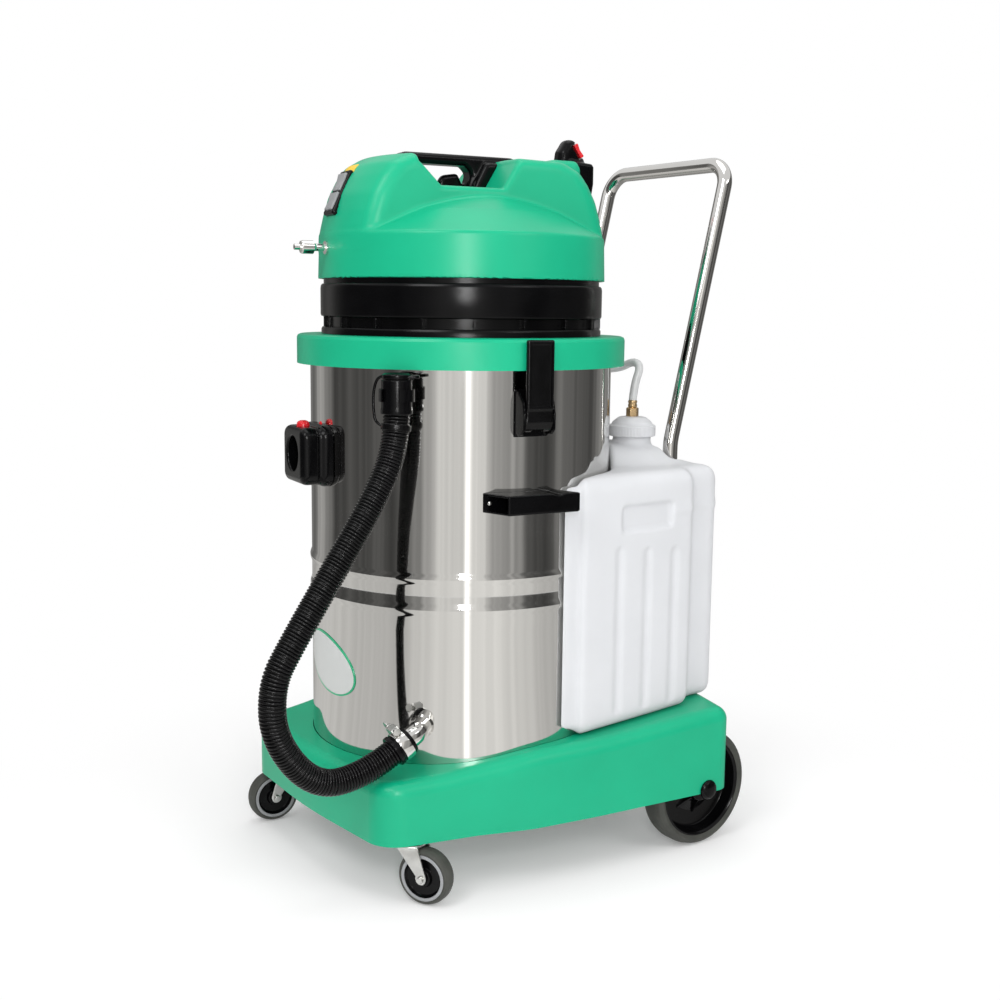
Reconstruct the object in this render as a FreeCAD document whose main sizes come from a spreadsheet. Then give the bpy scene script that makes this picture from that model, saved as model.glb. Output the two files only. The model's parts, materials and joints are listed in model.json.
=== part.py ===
import FreeCAD, Part
import math
import os
import re
import Sketcher

# Wet and dry vacuum with spray extraction: steel recovery drum and motor head on a cart.
# Units are millimetres. +Z is up and the floor is z = 0. The front (hose inlet) faces -Y.
# All plan positions are measured from the drum axis, which stands at y = axis_y.

V = FreeCAD.Vector
doc = FreeCAD.newDocument("wet_dry_vacuum")

SIZES = {
    # recovery drum
    "drum_radius": 215, "drum_wall": 1.2, "drum_seat": 150, "drum_top": 724, "drum_corner": 14,
    "rim_out": 3, "rim_tall": 6, "bead_out": 2.5, "bead_ease": 4,
    "bead_low_start": 369, "bead_low_end": 390, "bead_high_start": 412, "bead_high_end": 430,
    "drum_turn": -9,
    # hose inlet
    "inlet_face": 254, "inlet_half": 43, "inlet_low": 534, "inlet_high": 612, "port_level": 575,
    "port_radius": 24, "collar_radius": 31, "collar_out": 4, "button_radius": 9,
    "button_back": 16, "button_rise": 8, "button_depth": 6, "button_travel": 3, "free_gap": 0.3,
    # head ring
    "ring_radius": 233.6, "ring_low": 695.7, "ring_top": 736.4, "ring_wall": 4,
    "ring_plate": 5.4, "ring_inner": 180, "sleeve_outer": 210, "sleeve_low": 706,
    "gasket_inner": 211, "gasket_outer": 221, "ring_round": 5,
    # lower motor housing
    "flange_radius": 199, "flange_top": 746.8, "gap_radius": 190, "gap_top": 760.4,
    "band_radius": 200, "band_top": 806, "neck_radius": 195.5, "neck_top": 812.8,
    "base_wall": 3.5, "rib_width": 4, "motor_offset": 82, "motor_inlet": 30,
    # head cover
    "skirt_radius": 203, "skirt_top_radius": 201, "ledge_low": 872, "cover_wall": 3.5,
    "head_half": 95, "crown_tall": 107, "notch_front": -104, "notch_deep": 43,
    "notch_floor_front": -73, "notch_floor_back": 19, "notch_back": 40,
    "hump_front": 124, "hump_back": 170, "hump_rise": 6, "hump_half": 42,
    # carry handle and controls
    "grip_half": 17, "grip_rise": 7, "grip_thick": 15, "pivot_radius": 0.8,
    "bezel_half": 19, "bezel_depth": 5, "rocker_half": 14, "rocker_long": 25, "rocker_proud": 3,
    "coupling_level": 853, "coupling_reach": 248, "coupling_tube": 5, "coupling_sleeve": 9,
    # motors, fans, pan and float
    "motor_can": 62, "motor_can_top": 772, "motor_core": 48, "motor_top": 852, "can_wall": 2,
    "fan_radius": 52, "fan_low": 746, "fan_high": 764, "shaft_radius": 4, "turn_gap": 0.05,
    "pan_radius": 176, "pan_low": 697, "pan_wall": 3, "pan_hole": 35,
    "cage_radius": 55, "cage_low": 598, "cage_wall": 3, "ball_radius": 40,
    "pump_front": 84, "pump_back": 144, "pump_half": 38, "pump_tall": 62,
    # side latches
    "latch_half": 19.5, "latch_pivot": 229, "latch_level": 628, "latch_end": 12,
    "latch_inner": 236.4, "latch_plate": 5.2, "latch_top": 735, "lug_half": 8,
    "lug_radius": 7, "hook_half": 12, "hook_low": 721, "hook_high": 727, "hook_reach": 230.6,
    "pin_radius": 3, "slot_half": 14, "slot_top": 729.5,
    # accessory holder
    "holder_turn": 91.5, "holder_low": 511, "holder_high": 537, "holder_face": 250,
    "holder_half": 55, "holder_foot": 72, "holder_rear_foot": 38, "holder_strap": 5,
    # drain
    "drain_turn": 43, "drain_level": 222, "elbow_reach": 246, "elbow_radius": 14,
    "elbow_bore": 11.5, "elbow_bend": 16, "collar_start": 12, "collar_end": 40,
    "drain_collar_radius": 20, "hose_radius": 17.5, "hose_bore": 14,
    "clamp_start": 18, "clamp_end": 31, "clamp_band": 1.2,
    "cuff_turn": 36.5, "cuff_reach": 244, "cuff_low": 640, "cuff_top": 684, "cuff_radius": 20,
    "hose_seat": 1.3, "cap_top": 692, "cap_radius": 17, "lanyard_radius": 1.5, "lanyard_band": 2,
    # solution tank
    "tank_half": 230, "wing_half": 222, "tank_front": 17, "tank_step": 47, "tank_back": 320,
    "tank_rear_half": 212, "tank_rear_step": 247, "tank_top": 551, "tank_wall": 4, "tank_gap": 2.5,
    "hump_up": 27, "channel_half": 20, "channel_front": 270, "neck_bore": 24,
    "filler_x": 100, "filler_y": 241, "filler_radius": 28, "filler_tall": 51,
    "lid_radius": 35, "lid_skirt": 14, "lid_dome": 15, "lid_wall": 3,
    "nut_half": 9.5, "nut_tall": 13, "barb_tall": 11, "barb_radius": 7, "tube_bore": 3,
    "grip_low": 471, "grip_high": 507, "grip_front": 116, "grip_back": 217, "grip_depth": 6,
    # clear hose
    "feed_seat": 0.7, "feed_radius": 6, "feed_bore": 4, "feed_turn": 169, "feed_level": 685, "feed_reach": 232,
    # push handle
    "bar_radius": 11, "bar_wall": 1.5, "leg_half": 134, "leg_y": 288, "bend_level": 579,
    "bar_y": 390, "bar_level": 992, "socket_radius": 16, "socket_tall": 34, "corner_radius": 36,
    "knee_radius": 90,
    # cart base
    "base_low": 82, "base_shell": 4, "recess_gap": 0.8, "edge_round": 19, "deck_back": 204,
    "well_inner": 207, "well_depth": 100,
    # rear wheels
    "wheel_radius": 86, "wheel_width": 40, "wheel_y": 254, "wheel_outer": 262, "rim_radius": 71,
    "axle_radius": 8, "axle_proud": 13, "tyre_gap": 1, "cap_dome": 15, "cap_rise": 5, "notch_gap": 1,
    # casters
    "caster_x": 176, "caster_y": -195, "caster_radius": 37.5, "caster_width": 25,
    "caster_trail": 25, "near_trail": 119, "far_trail": -5, "crown_top": 81, "crown_low": 76.5,
    "crown_radius": 22, "leg_plate": 2.5, "leg_gap": 1.5, "bolt_radius": 4, "bolt_head": 5.2,
    "plate_low": 100, "plate_top": 104, "plate_radius": 15.5, "race_radius": 13,
    "king_radius": 5,
    # badge plate
    "badge_long": 73, "badge_short": 33, "badge_level": 289, "badge_turn": 3, "badge_tilt": 20,
    "badge_thick": 1.5,
    # screws
    "screw_head": 4.5, "screw_rise": 2.6,
    "axis_y": -70.85,
    # derived from the sizes above
    "cover_top": "=ledge_low + crown_tall", "notch_floor": "=cover_top - notch_deep",
    "hump_top": "=cover_top + hump_rise", "grip_top": "=cover_top + grip_rise",
    "grip_under": "=grip_top - grip_thick", "axle_half": "=wheel_outer + axle_proud",
    "hump_level": "=tank_top + hump_up", "filler_top": "=tank_top + filler_tall",
    "lid_low": "=filler_top - lid_skirt", "lid_top": "=filler_top + lid_dome",
    "nut_top": "=lid_top + nut_tall", "barb_top": "=nut_top + barb_tall",
}

sheet = doc.addObject("Spreadsheet::Sheet", "dims")
for row, (alias, value) in enumerate(SIZES.items(), start=1):
    sheet.set("A%d" % row, str(value))
    sheet.setAlias("A%d" % row, alias)
doc.recompute()


def bind(text):
    """Put the sheet's name in front of every size in an expression."""
    return re.sub(r"[a-z_]+", lambda m: "dims." + m.group() if m.group() in SIZES else m.group(),
                  str(text))


def num(text):
    """Value of an expression in the sheet's sizes."""
    return float(sheet.evalExpression(bind(text)))


count = {}


def unique(stem):
    count[stem] = count.get(stem, 0) + 1
    return "%s_%d" % (stem, count[stem])


def outline(body, role, points):
    """Closed sketch on one of the body's own planes, every corner bound to the sheet."""
    plane = [f for f in body.Origin.OriginFeatures if f.Role == role][0]
    sketch = body.newObject("Sketcher::SketchObject", unique("outline"))
    sketch.AttachmentSupport = [(plane, "")]
    sketch.MapMode = "FlatFace"
    at = [V(num(a), num(b), 0) for a, b in points]
    total = len(at)
    sketch.addGeometry([Part.LineSegment(at[i], at[(i + 1) % total]) for i in range(total)], False)
    sketch.addConstraint([Sketcher.Constraint("Coincident", i, 2, (i + 1) % total, 1)
                          for i in range(total)])
    for i, (a, b) in enumerate(points):
        for kind, value, text in (("DistanceX", at[i].x, a), ("DistanceY", at[i].y, b)):
            index = sketch.addConstraint(Sketcher.Constraint(kind, -1, 1, i, 1, value))
            sketch.setExpression("Constraints[%d]" % index, bind(text))
    return sketch


def turned(points, axis="Z"):
    """Solid of revolution; points are (radius, height) for Z and (along, radius) for X and Y."""
    role, line = {"Z": ("XZ_Plane", "V_Axis"), "X": ("XY_Plane", "H_Axis"),
                  "Y": ("YZ_Plane", "H_Axis")}[axis]
    body = doc.addObject("PartDesign::Body", unique("turned"))
    sketch = outline(body, role, points)
    doc.recompute()
    feature = body.newObject("PartDesign::Revolution", unique("turning"))
    feature.Profile = sketch
    feature.ReferenceAxis = (sketch, [line])
    feature.Angle = 360
    body.Tip = feature
    doc.recompute()
    return body


def padded(role, points, start, end):
    """Prism on one of the body's planes, from start to end along the plane's normal."""
    body = doc.addObject("PartDesign::Body", unique("padded"))
    sketch = outline(body, role, points)
    sketch.setExpression("AttachmentOffset.Base.z", bind(start))
    doc.recompute()
    feature = body.newObject("PartDesign::Pad", unique("pad"))
    feature.Profile = sketch
    feature.setExpression("Length", bind("(%s) - (%s)" % (end, start)))
    body.Tip = feature
    doc.recompute()
    return body


def across(points, half):
    """Prism of a (y, z) outline, symmetric about x = 0."""
    return padded("YZ_Plane", points, "-(%s)" % half, half)


def upright(points, low, high):
    """Prism of an (x, y) outline between two heights."""
    return padded("XY_Plane", points, low, high)


def block(x0, x1, y0, y1, z0, z1):
    """Box between two bounds on each axis."""
    box = doc.addObject("Part::Box", unique("block"))
    for prop, a, b in (("Length", x0, x1), ("Width", y0, y1), ("Height", z0, z1)):
        box.setExpression(prop, bind("(%s) - (%s)" % (b, a)))
    for axis, value in (("x", x0), ("y", y0), ("z", z0)):
        box.setExpression("Placement.Base." + axis, bind(value))
    doc.recompute()
    return box


def rod(radius, length, x=0, y=0, z=0, along="Z"):
    """Cylinder that starts at a point and runs along +X, +Y or +Z."""
    cylinder = doc.addObject("Part::Cylinder", unique("rod"))
    cylinder.setExpression("Radius", bind(radius))
    cylinder.setExpression("Height", bind(length))
    turn = {"Z": FreeCAD.Rotation(), "X": FreeCAD.Rotation(V(0, 1, 0), 90),
            "Y": FreeCAD.Rotation(V(1, 0, 0), -90)}[along]
    cylinder.Placement = FreeCAD.Placement(V(0, 0, 0), turn)
    for axis, value in (("x", x), ("y", y), ("z", z)):
        cylinder.setExpression("Placement.Base." + axis, bind(value))
    doc.recompute()
    return cylinder


def fuse(*shapes):
    feature = doc.addObject("Part::MultiFuse", unique("fuse"))
    feature.Shapes = list(shapes)
    doc.recompute()
    return feature


def meet(*shapes):
    feature = doc.addObject("Part::MultiCommon", unique("meet"))
    feature.Shapes = list(shapes)
    doc.recompute()
    return feature


def cut(base, *tools):
    feature = doc.addObject("Part::Cut", unique("cut"))
    feature.Base = base
    feature.Tool = tools[0] if len(tools) == 1 else fuse(*tools)
    doc.recompute()
    return feature


def fixed_shape(shape):
    feature = doc.addObject("Part::Feature", unique("shape"))
    feature.Shape = shape
    return feature


def turn_of(text):
    return FreeCAD.Rotation(V(0, 0, 1), num(text))


nodes = {}


def seat(name, feature, turn="0", x="0", y="0", z="0"):
    """Name a node and place it: plan position from the drum axis, then a turn about +Z."""
    feature.Label = name
    feature.Placement = FreeCAD.Placement(V(0, 0, 0), FreeCAD.Rotation(V(0, 0, 1), 1))
    feature.setExpression("Placement.Base.x", bind(x))
    feature.setExpression("Placement.Base.y", bind("axis_y + (%s)" % y))
    feature.setExpression("Placement.Base.z", bind(z))
    feature.setExpression("Placement.Rotation.Angle", bind(turn))
    nodes[name] = feature
    doc.recompute()
    return feature


def radial(x, y, turn):
    """Plan point of a turned local point, from the drum axis."""
    a = math.radians(num(turn))
    return (x * math.cos(a) - y * math.sin(a), x * math.sin(a) + y * math.cos(a))


def local(text_x, text_y, text_z, turn):
    x, y = radial(num(text_x), num(text_y), turn)
    return V(x, y, num(text_z))


# ---------------------------------------------------------------- swept tubes

def tangent_path(points, share=0.45, radii=None, report=None):
    """Wire of straight runs joined by tangent arcs."""
    edges = []
    last = points[0]
    for i in range(1, len(points) - 1):
        before = points[i] - points[i - 1]
        after = points[i + 1] - points[i]
        u = V(before).normalize()
        w = V(after).normalize()
        turn = u.getAngle(w)
        if radii and radii[i - 1]:
            reach = radii[i - 1] * math.tan(turn / 2)
        else:
            reach = share * min(before.Length, after.Length)
        radius = reach / math.tan(turn / 2)
        start = points[i] - u * reach
        end = points[i] + w * reach
        to_centre = (w - u).normalize() * (radius / math.cos(turn / 2))
        middle = points[i] + to_centre - V(to_centre).normalize() * radius
        if (start - last).Length > 0.001:
            edges.append(Part.LineSegment(last, start).toShape())
        edges.append(Part.Arc(start, middle, end).toShape())
        last = end
        if report:
            print("%s bend %d: radius %.1f, turn %.1f" % (report, i, radius, math.degrees(turn)))
    if (points[-1] - last).Length > 0.001:
        edges.append(Part.LineSegment(last, points[-1]).toShape())
    return Part.Wire(edges)


def sweep(path, radius, start, direction):
    circle = Part.Wire([Part.Circle(start, direction, radius).toShape()])
    return path.makePipeShell([circle], True, True)


def tube(points, radius, bore=0, radii=None, report=None):
    path = tangent_path(points, radii=radii, report=report)
    direction = points[1] - points[0]
    solid = sweep(path, radius, points[0], direction)
    if bore:
        inner = sweep(path, bore, points[0], direction)
        solid = solid.cut(inner)
    if report:
        area = math.pi * (radius ** 2 - bore ** 2)
        print("%s: length %.1f, volume %.0f, section x length %.0f"
              % (report, path.Length, solid.Volume, area * path.Length))
    return solid


def rounded_plan(points):
    """Closed wire through (x, y, corner radius) points."""
    total = len(points)
    edges = []
    ends = []
    for i in range(total):
        here = V(points[i][0], points[i][1], 0)
        before = V(points[i - 1][0], points[i - 1][1], 0)
        after = V(points[(i + 1) % total][0], points[(i + 1) % total][1], 0)
        u = (before - here).normalize()
        w = (after - here).normalize()
        radius = points[i][2]
        half = u.getAngle(w) / 2
        if radius <= 0:
            ends.append((here, here))
            continue
        reach = radius / math.tan(half)
        start = here + u * reach
        end = here + w * reach
        bisector = (u + w).normalize()
        middle = here + bisector * (radius / math.sin(half) - radius)
        edges.append((i, Part.Arc(start, middle, end).toShape()))
        ends.append((start, end))
    arcs = dict(edges)
    ordered = []
    for i in range(total):
        if i in arcs:
            ordered.append(arcs[i])
        start = ends[i][1]
        end = ends[(i + 1) % total][0]
        if (end - start).Length > 0.001:
            ordered.append(Part.LineSegment(start, end).toShape())
    return Part.Wire(ordered)


def prism(points, low, high):
    wire = rounded_plan(points)
    wire.translate(V(0, 0, low))
    return Part.Face(wire).extrude(V(0, 0, high - low))


def across_shape(points, half):
    """Prism of (y, z) points, symmetric about x = 0, as a plain shape."""
    ring = [V(-half, y, z) for y, z in points]
    return Part.Face(Part.makePolygon(ring + ring[:1])).extrude(V(2 * half, 0, 0))


HEAD = "drum_turn"

# ---------------------------------------------------------------- recovery drum

beads = []
for low, high in (("bead_low_start", "bead_low_end"), ("bead_high_start", "bead_high_end")):
    beads += [("0", low), ("bead_out", low + " + bead_ease"), ("bead_out", high + " - bead_ease"),
              ("0", high)]
outer = [("0", "drum_seat"), ("drum_radius - drum_corner", "drum_seat"),
         ("drum_radius - drum_corner/4", "drum_seat + drum_corner/4"),
         ("drum_radius", "drum_seat + drum_corner")]
outer += [("drum_radius + " + out, level) for out, level in beads]
outer += [("drum_radius", "drum_top - rim_tall"), ("drum_radius + rim_out", "drum_top - rim_tall"),
          ("drum_radius + rim_out", "drum_top")]
inner = [("0", "drum_seat + drum_wall"), ("drum_radius - drum_corner", "drum_seat + drum_wall"),
         ("drum_radius - drum_corner/4 - drum_wall", "drum_seat + drum_corner/4 + drum_wall/2"),
         ("drum_radius - drum_wall", "drum_seat + drum_corner")]
inner += [("drum_radius - drum_wall + " + out, level) for out, level in beads]
inner += [("drum_radius - drum_wall", "drum_top")]
drum_can = turned(outer + inner[::-1])
inlet_hole = rod("port_radius", "drum_radius", 0, "-1.2*drum_radius", "port_level", "Y")


def bore_at(turn, radius, level, start, length):
    """Horizontal cylinder through the drum wall at a turn given in the cart's frame."""
    turn = "((%s) - drum_turn)" % turn
    hole = rod(radius, length, "(%s)*sin(%s)" % (start, turn), "-(%s)*cos(%s)" % (start, turn),
               level, "Y")
    hole.Placement.Rotation = turn_of(turn).multiply(hole.Placement.Rotation)
    doc.recompute()
    return hole


drain_hole = bore_at("drain_turn", "elbow_radius + turn_gap", "drain_level", "drum_radius + 20", "40")
feed_hole = bore_at("feed_turn", "feed_radius + turn_gap", "feed_level", "drum_radius + 20", "40")
recovery_drum = seat("recovery_drum", cut(drum_can, inlet_hole, drain_hole, feed_hole), HEAD)


def drum_core(margin="0", low="0", high="900"):
    return rod("drum_radius + (%s)" % margin, "(%s) - (%s)" % (high, low), 0, 0, low)


# ---------------------------------------------------------------- hose inlet

inlet_box = block("-inlet_half", "inlet_half", "-inlet_face", "-drum_radius/2", "inlet_low",
                  "inlet_high")
inlet_collar = rod("collar_radius", "collar_out + 2", 0, "-inlet_face - collar_out", "port_level",
                   "Y")
inlet_bore = rod("port_radius", "inlet_face", 0, "-inlet_face - collar_out - 1", "port_level", "Y")
button_well = rod("button_radius + free_gap", "40", 0, "-inlet_face + button_back",
                  "inlet_high - button_depth - button_travel")
housing = cut(fuse(inlet_box, inlet_collar), drum_core(), inlet_bore, button_well)
seat("inlet_housing", housing, HEAD)

button = turned([("0", "-button_depth"), ("button_radius", "-button_depth"),
                 ("button_radius", "button_rise - 2"), ("button_radius - 2", "button_rise"),
                 ("0", "button_rise")])
seat("release_button", button, HEAD, "(inlet_face - button_back)*sin(drum_turn)",
     "-(inlet_face - button_back)*cos(drum_turn)", "inlet_high")

hood = across([("-drum_radius", "port_level + port_radius + 4"),
               ("-drum_radius + 45", "port_level + port_radius + 4"),
               ("-drum_radius + 62", "port_level - port_radius"),
               ("-drum_radius + 64", "port_level - port_radius"),
               ("-drum_radius + 47", "port_level + port_radius + 6"),
               ("-drum_radius", "port_level + port_radius + 6")], "34")
seat("inlet_deflector", meet(hood, drum_core("-drum_wall")), HEAD)

# ---------------------------------------------------------------- drain elbow, hose and cuff

drain_turn = num("drain_turn")
wall_point = local("0", "-drum_radius + drum_wall + 6", "drain_level", "drain_turn")
elbow_corner = local("0", "-elbow_reach", "drain_level", "drain_turn")
drain_dir = V(-0.06, -0.86, -0.50).normalize()


def along_drain(distance):
    return elbow_corner + drain_dir * distance


elbow = tube([wall_point, elbow_corner, along_drain(num("collar_start") + 10)],
             num("elbow_radius"), num("elbow_bore"), radii=[num("elbow_bend")])
seat("drain_elbow", fixed_shape(elbow))


def ring_along(start, end, outer_radius, inner_radius):
    outer_part = Part.makeCylinder(outer_radius, end - start, along_drain(start), drain_dir)
    inner_part = Part.makeCylinder(inner_radius, end - start, along_drain(start), drain_dir)
    return outer_part.cut(inner_part)


seat("drain_collar", fixed_shape(ring_along(num("collar_start"), num("collar_end"),
                                            num("drain_collar_radius"), num("elbow_radius"))))
band = ring_along(num("clamp_start"), num("clamp_end"), num("drain_collar_radius + clamp_band"),
                  num("drain_collar_radius"))
side = drain_dir.cross(V(0, 0, 1)).normalize()
top = side.cross(drain_dir).normalize()
worm_centre = along_drain(num("(clamp_start + clamp_end)/2")) + top * num(
    "drain_collar_radius + clamp_band + 4")
worm = Part.makeCylinder(5, 22, worm_centre - side * 11, side)
wing = Part.makeCylinder(6.5, 2.4, worm_centre + side * 17 - drain_dir * 1.2, drain_dir)
stem = Part.makeCylinder(2.5, 8, worm_centre + side * 10, side)
seat("hose_clamp", fixed_shape(band.fuse([worm, stem, wing]).removeSplitter()))

hose_start = along_drain(num("collar_end"))
hose_end = local("0", "-cuff_reach", "cuff_low - hose_seat", "cuff_turn")
hose_route = [hose_start, along_drain(num("collar_end") + 46), V(161, -325, 175),
              V(160, -381, 245), V(158.5, -383, 317), V(156, -351, 366), V(153, -290, 452),
              V(150, -235, 528), V(146.3, -198.7, 592), hose_end]
drain_hose = tube(hose_route, num("hose_radius"), num("hose_bore"), report="drain_hose")
seat("drain_hose", fixed_shape(drain_hose))

cuff = turned([("hose_bore", "cuff_low"), ("cuff_radius - 2", "cuff_low"),
               ("cuff_radius", "cuff_low + 6"), ("cuff_radius", "cuff_top"),
               ("hose_bore", "cuff_top")])
seat("hose_cuff", cuff, "0", "cuff_reach*sin(cuff_turn)", "-cuff_reach*cos(cuff_turn)")
plug = turned([("0", "cuff_top - 12"), ("hose_bore", "cuff_top - 12"), ("hose_bore", "cuff_top"),
               ("cap_radius", "cuff_top"), ("cap_radius", "cap_top - 2"),
               ("cap_radius - 2", "cap_top"), ("0", "cap_top")])
seat("hose_cap", plug, "0", "cuff_reach*sin(cuff_turn)", "-cuff_reach*cos(cuff_turn)")

band_share = 0.66
band_centre = hose_route[-2] + (hose_route[-1] - hose_route[-2]) * band_share
band_dir = (hose_route[-1] - hose_route[-2]).normalize()
strap_band = Part.makeCylinder(num("hose_radius + lanyard_band"), 8, band_centre - band_dir * 4,
                               band_dir).cut(
    Part.makeCylinder(num("hose_radius"), 8, band_centre - band_dir * 4, band_dir))
cap_centre = V(hose_end.x, hose_end.y, num("cuff_top + 4"))
out_dir = V(-math.cos(math.radians(34)), -math.sin(math.radians(34)), 0)
strap_route = [cap_centre + out_dir * num("cap_radius - 1"),
               cap_centre + out_dir * num("cap_radius + 9"),
               cap_centre + out_dir * num("cap_radius + 16") - V(0, 0, 18),
               band_centre + out_dir * num("hose_radius + 15") + V(0, 0, 22),
               band_centre + out_dir * num("hose_radius + 12") + V(0, 0, 3),
               band_centre + out_dir * num("hose_radius + 1")]
strap = tube(strap_route, num("lanyard_radius"))
strap = strap.cut(Part.makeCylinder(num("cap_radius"), 30, V(hose_end.x, hose_end.y, 670)))
strap = strap.cut(Part.makeCylinder(num("hose_radius"), 60, band_centre - band_dir * 30, band_dir))
seat("cap_lanyard", fixed_shape(strap_band.fuse(strap).removeSplitter()))

hook_arm = block("-9", "9", "-cuff_reach + 4", "-drum_radius/2", "cuff_low + 16", "cuff_low + 32")
hook_ring = rod("cuff_radius + 3", "16", 0, "-cuff_reach", "cuff_low + 16")
hook_hole = rod("cuff_radius", "40", 0, "-cuff_reach", "cuff_low + 4")
hook_gap = block("-12", "12", "-cuff_reach - 40", "-cuff_reach - 12", "cuff_low + 4",
                 "cuff_low + 40")
seat("hose_hook", cut(fuse(hook_arm, hook_ring), drum_core(), hook_hole, hook_gap), "cuff_turn")

# ---------------------------------------------------------------- accessory holder and badge

holder_outer = upright([("-holder_half", "-holder_face"), ("holder_half", "-holder_face"),
                        ("holder_rear_foot", "-drum_radius + 8"),
                        ("holder_rear_foot", "-drum_radius/2"),
                        ("-holder_foot", "-drum_radius/2"), ("-holder_foot", "-drum_radius + 12")],
                       "holder_low", "holder_high")
holder_slot = upright([("-holder_half + 3", "-holder_face + holder_strap"),
                       ("holder_half - 6", "-holder_face + holder_strap"),
                       ("holder_rear_foot - 5", "-drum_radius + 2"),
                       ("-holder_half - 6", "-drum_radius + 2")],
                      "holder_low - 5", "holder_high + 5")
holder_back = cut(drum_core("holder_strap", "holder_low - 5", "holder_high + 5"),
                  drum_core("0", "holder_low - 6", "holder_high + 6"))
slot_cutter = cut(holder_slot, holder_back)
seat("accessory_holder", cut(holder_outer, drum_core(), slot_cutter), "holder_turn + drum_turn")

badge_disc = doc.addObject("Part::Ellipse", unique("oval"))
badge_disc.setExpression("MajorRadius", bind("badge_long"))
badge_disc.setExpression("MinorRadius", bind("badge_short"))
badge_block = doc.addObject("Part::Extrusion", unique("oval_block"))
badge_block.Base = badge_disc
badge_block.DirMode = "Custom"
badge_block.Dir = V(0, 0, 1)
badge_block.LengthFwd = num("drum_radius")
badge_block.Solid = True
badge_block.Placement = FreeCAD.Placement(
    V(0, -num("drum_radius/2"), num("badge_level")),
    FreeCAD.Rotation(V(1, 0, 0), 90).multiply(FreeCAD.Rotation(V(0, 0, 1), -num("badge_tilt"))))
doc.recompute()
badge_shell = cut(drum_core("badge_thick", "100", "400"), drum_core("0", "90", "410"))
seat("badge_plate", meet(badge_shell, badge_block), "badge_turn + drum_turn")

# ---------------------------------------------------------------- side latches

LATCHES = (("near_latch", "drum_turn + 90"), ("far_latch", "drum_turn - 90"))


def latch_shape():
    plate = block("-latch_half", "latch_half", "-latch_inner - latch_plate", "-latch_inner",
                  "latch_level", "latch_top")
    ends = [rod("latch_end", "latch_half - lug_half - free_gap", start, "-latch_pivot",
                "latch_level", "X") for start in ("-latch_half", "lug_half + free_gap")]
    hook = block("-hook_half", "hook_half", "-latch_inner - 1", "-hook_reach", "hook_low",
                 "hook_high")
    pin_hole = rod("pin_radius + turn_gap", "3*latch_half", "-1.5*latch_half", "-latch_pivot",
                   "latch_level", "X")
    return cut(fuse(plate, *ends, hook), pin_hole)


for latch_name, latch_turn in LATCHES:
    shape = latch_shape()
    seat(latch_name, shape, latch_turn)


def latch_pair(maker):
    """Two copies of one latch piece, one per side, as a group of separate solids."""
    made = maker().Shape
    return fixed_shape(Part.makeCompound([made.rotated(V(0, 0, 0), V(0, 0, 1), num(latch_turn))
                                          for _, latch_turn in LATCHES]))


def lug():
    arm = block("-lug_half", "lug_half", "-latch_pivot", "-drum_radius/2",
                "latch_level - lug_radius", "latch_level + lug_radius")
    barrel = rod("lug_radius", "2*lug_half", "-lug_half", "-latch_pivot", "latch_level", "X")
    bore = rod("pin_radius", "4*lug_half", "-2*lug_half", "-latch_pivot", "latch_level", "X")
    return cut(fuse(arm, barrel), drum_core(), bore)


def latch_pin():
    return rod("pin_radius", "2*latch_half", "-latch_half", "-latch_pivot", "latch_level", "X")


def baked(feature):
    return fixed_shape(feature.Shape.copy())


seat("latch_brackets", latch_pair(lug))
seat("latch_pins", latch_pair(latch_pin))

# ---------------------------------------------------------------- screws on the drum wall

screw = turned([("0", "0"), ("screw_head", "0"), ("screw_head - 1", "screw_rise"),
                ("0", "screw_rise")])


def screw_at(turn, outward, x, level):
    """One pan-head screw whose head stands outward from the drum axis."""
    copy = screw.Shape.copy()
    face = FreeCAD.Placement(V(x, -outward, level), FreeCAD.Rotation(V(1, 0, 0), 90))
    copy.Placement = FreeCAD.Placement(V(0, 0, 0), turn_of(turn)).multiply(face)
    return copy


inlet_screws = [screw_at(HEAD, num("inlet_face"), x, z)
                for x in (num("-inlet_half + 9"), num("inlet_half - 9"))
                for z in (num("inlet_low + 9"), num("inlet_high - 9"))]
seat("drum_screws", fixed_shape(Part.makeCompound(inlet_screws)))

# ---------------------------------------------------------------- head: ring, gasket, base

ring = turned([("ring_inner", "ring_top - ring_plate"), ("sleeve_outer - 4",
                                                         "ring_top - ring_plate"),
               ("sleeve_outer - 4", "sleeve_low"), ("sleeve_outer", "sleeve_low"),
               ("sleeve_outer", "ring_top - ring_plate"),
               ("ring_radius - ring_wall", "ring_top - ring_plate"),
               ("ring_radius - ring_wall", "ring_low"), ("ring_radius", "ring_low"),
               ("ring_radius", "ring_top - ring_round"),
               ("ring_radius - 0.3*ring_round", "ring_top - 0.3*ring_round"),
               ("ring_radius - ring_round", "ring_top"), ("ring_inner", "ring_top")])
slots = [block("-slot_half", "slot_half", "-ring_radius - 3", "-ring_radius + ring_wall + 4",
               "ring_low - 5", "slot_top"),
         block("-slot_half", "slot_half", "ring_radius - ring_wall - 4", "ring_radius + 3",
               "ring_low - 5", "slot_top")]
for slot in slots:
    slot.Placement = FreeCAD.Placement(slot.Placement)
slot_pair = fixed_shape(Part.makeCompound([
    s.Shape.rotated(V(0, 0, 0), V(0, 0, 1), 90) for s in slots]))
seat("rim_ring", cut(ring, slot_pair), HEAD)
gasket = turned([("gasket_inner", "drum_top"), ("gasket_outer", "drum_top"),
                 ("gasket_outer", "ring_top - ring_plate"),
                 ("gasket_inner", "ring_top - ring_plate")])
seat("ring_gasket", gasket, HEAD)

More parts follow.
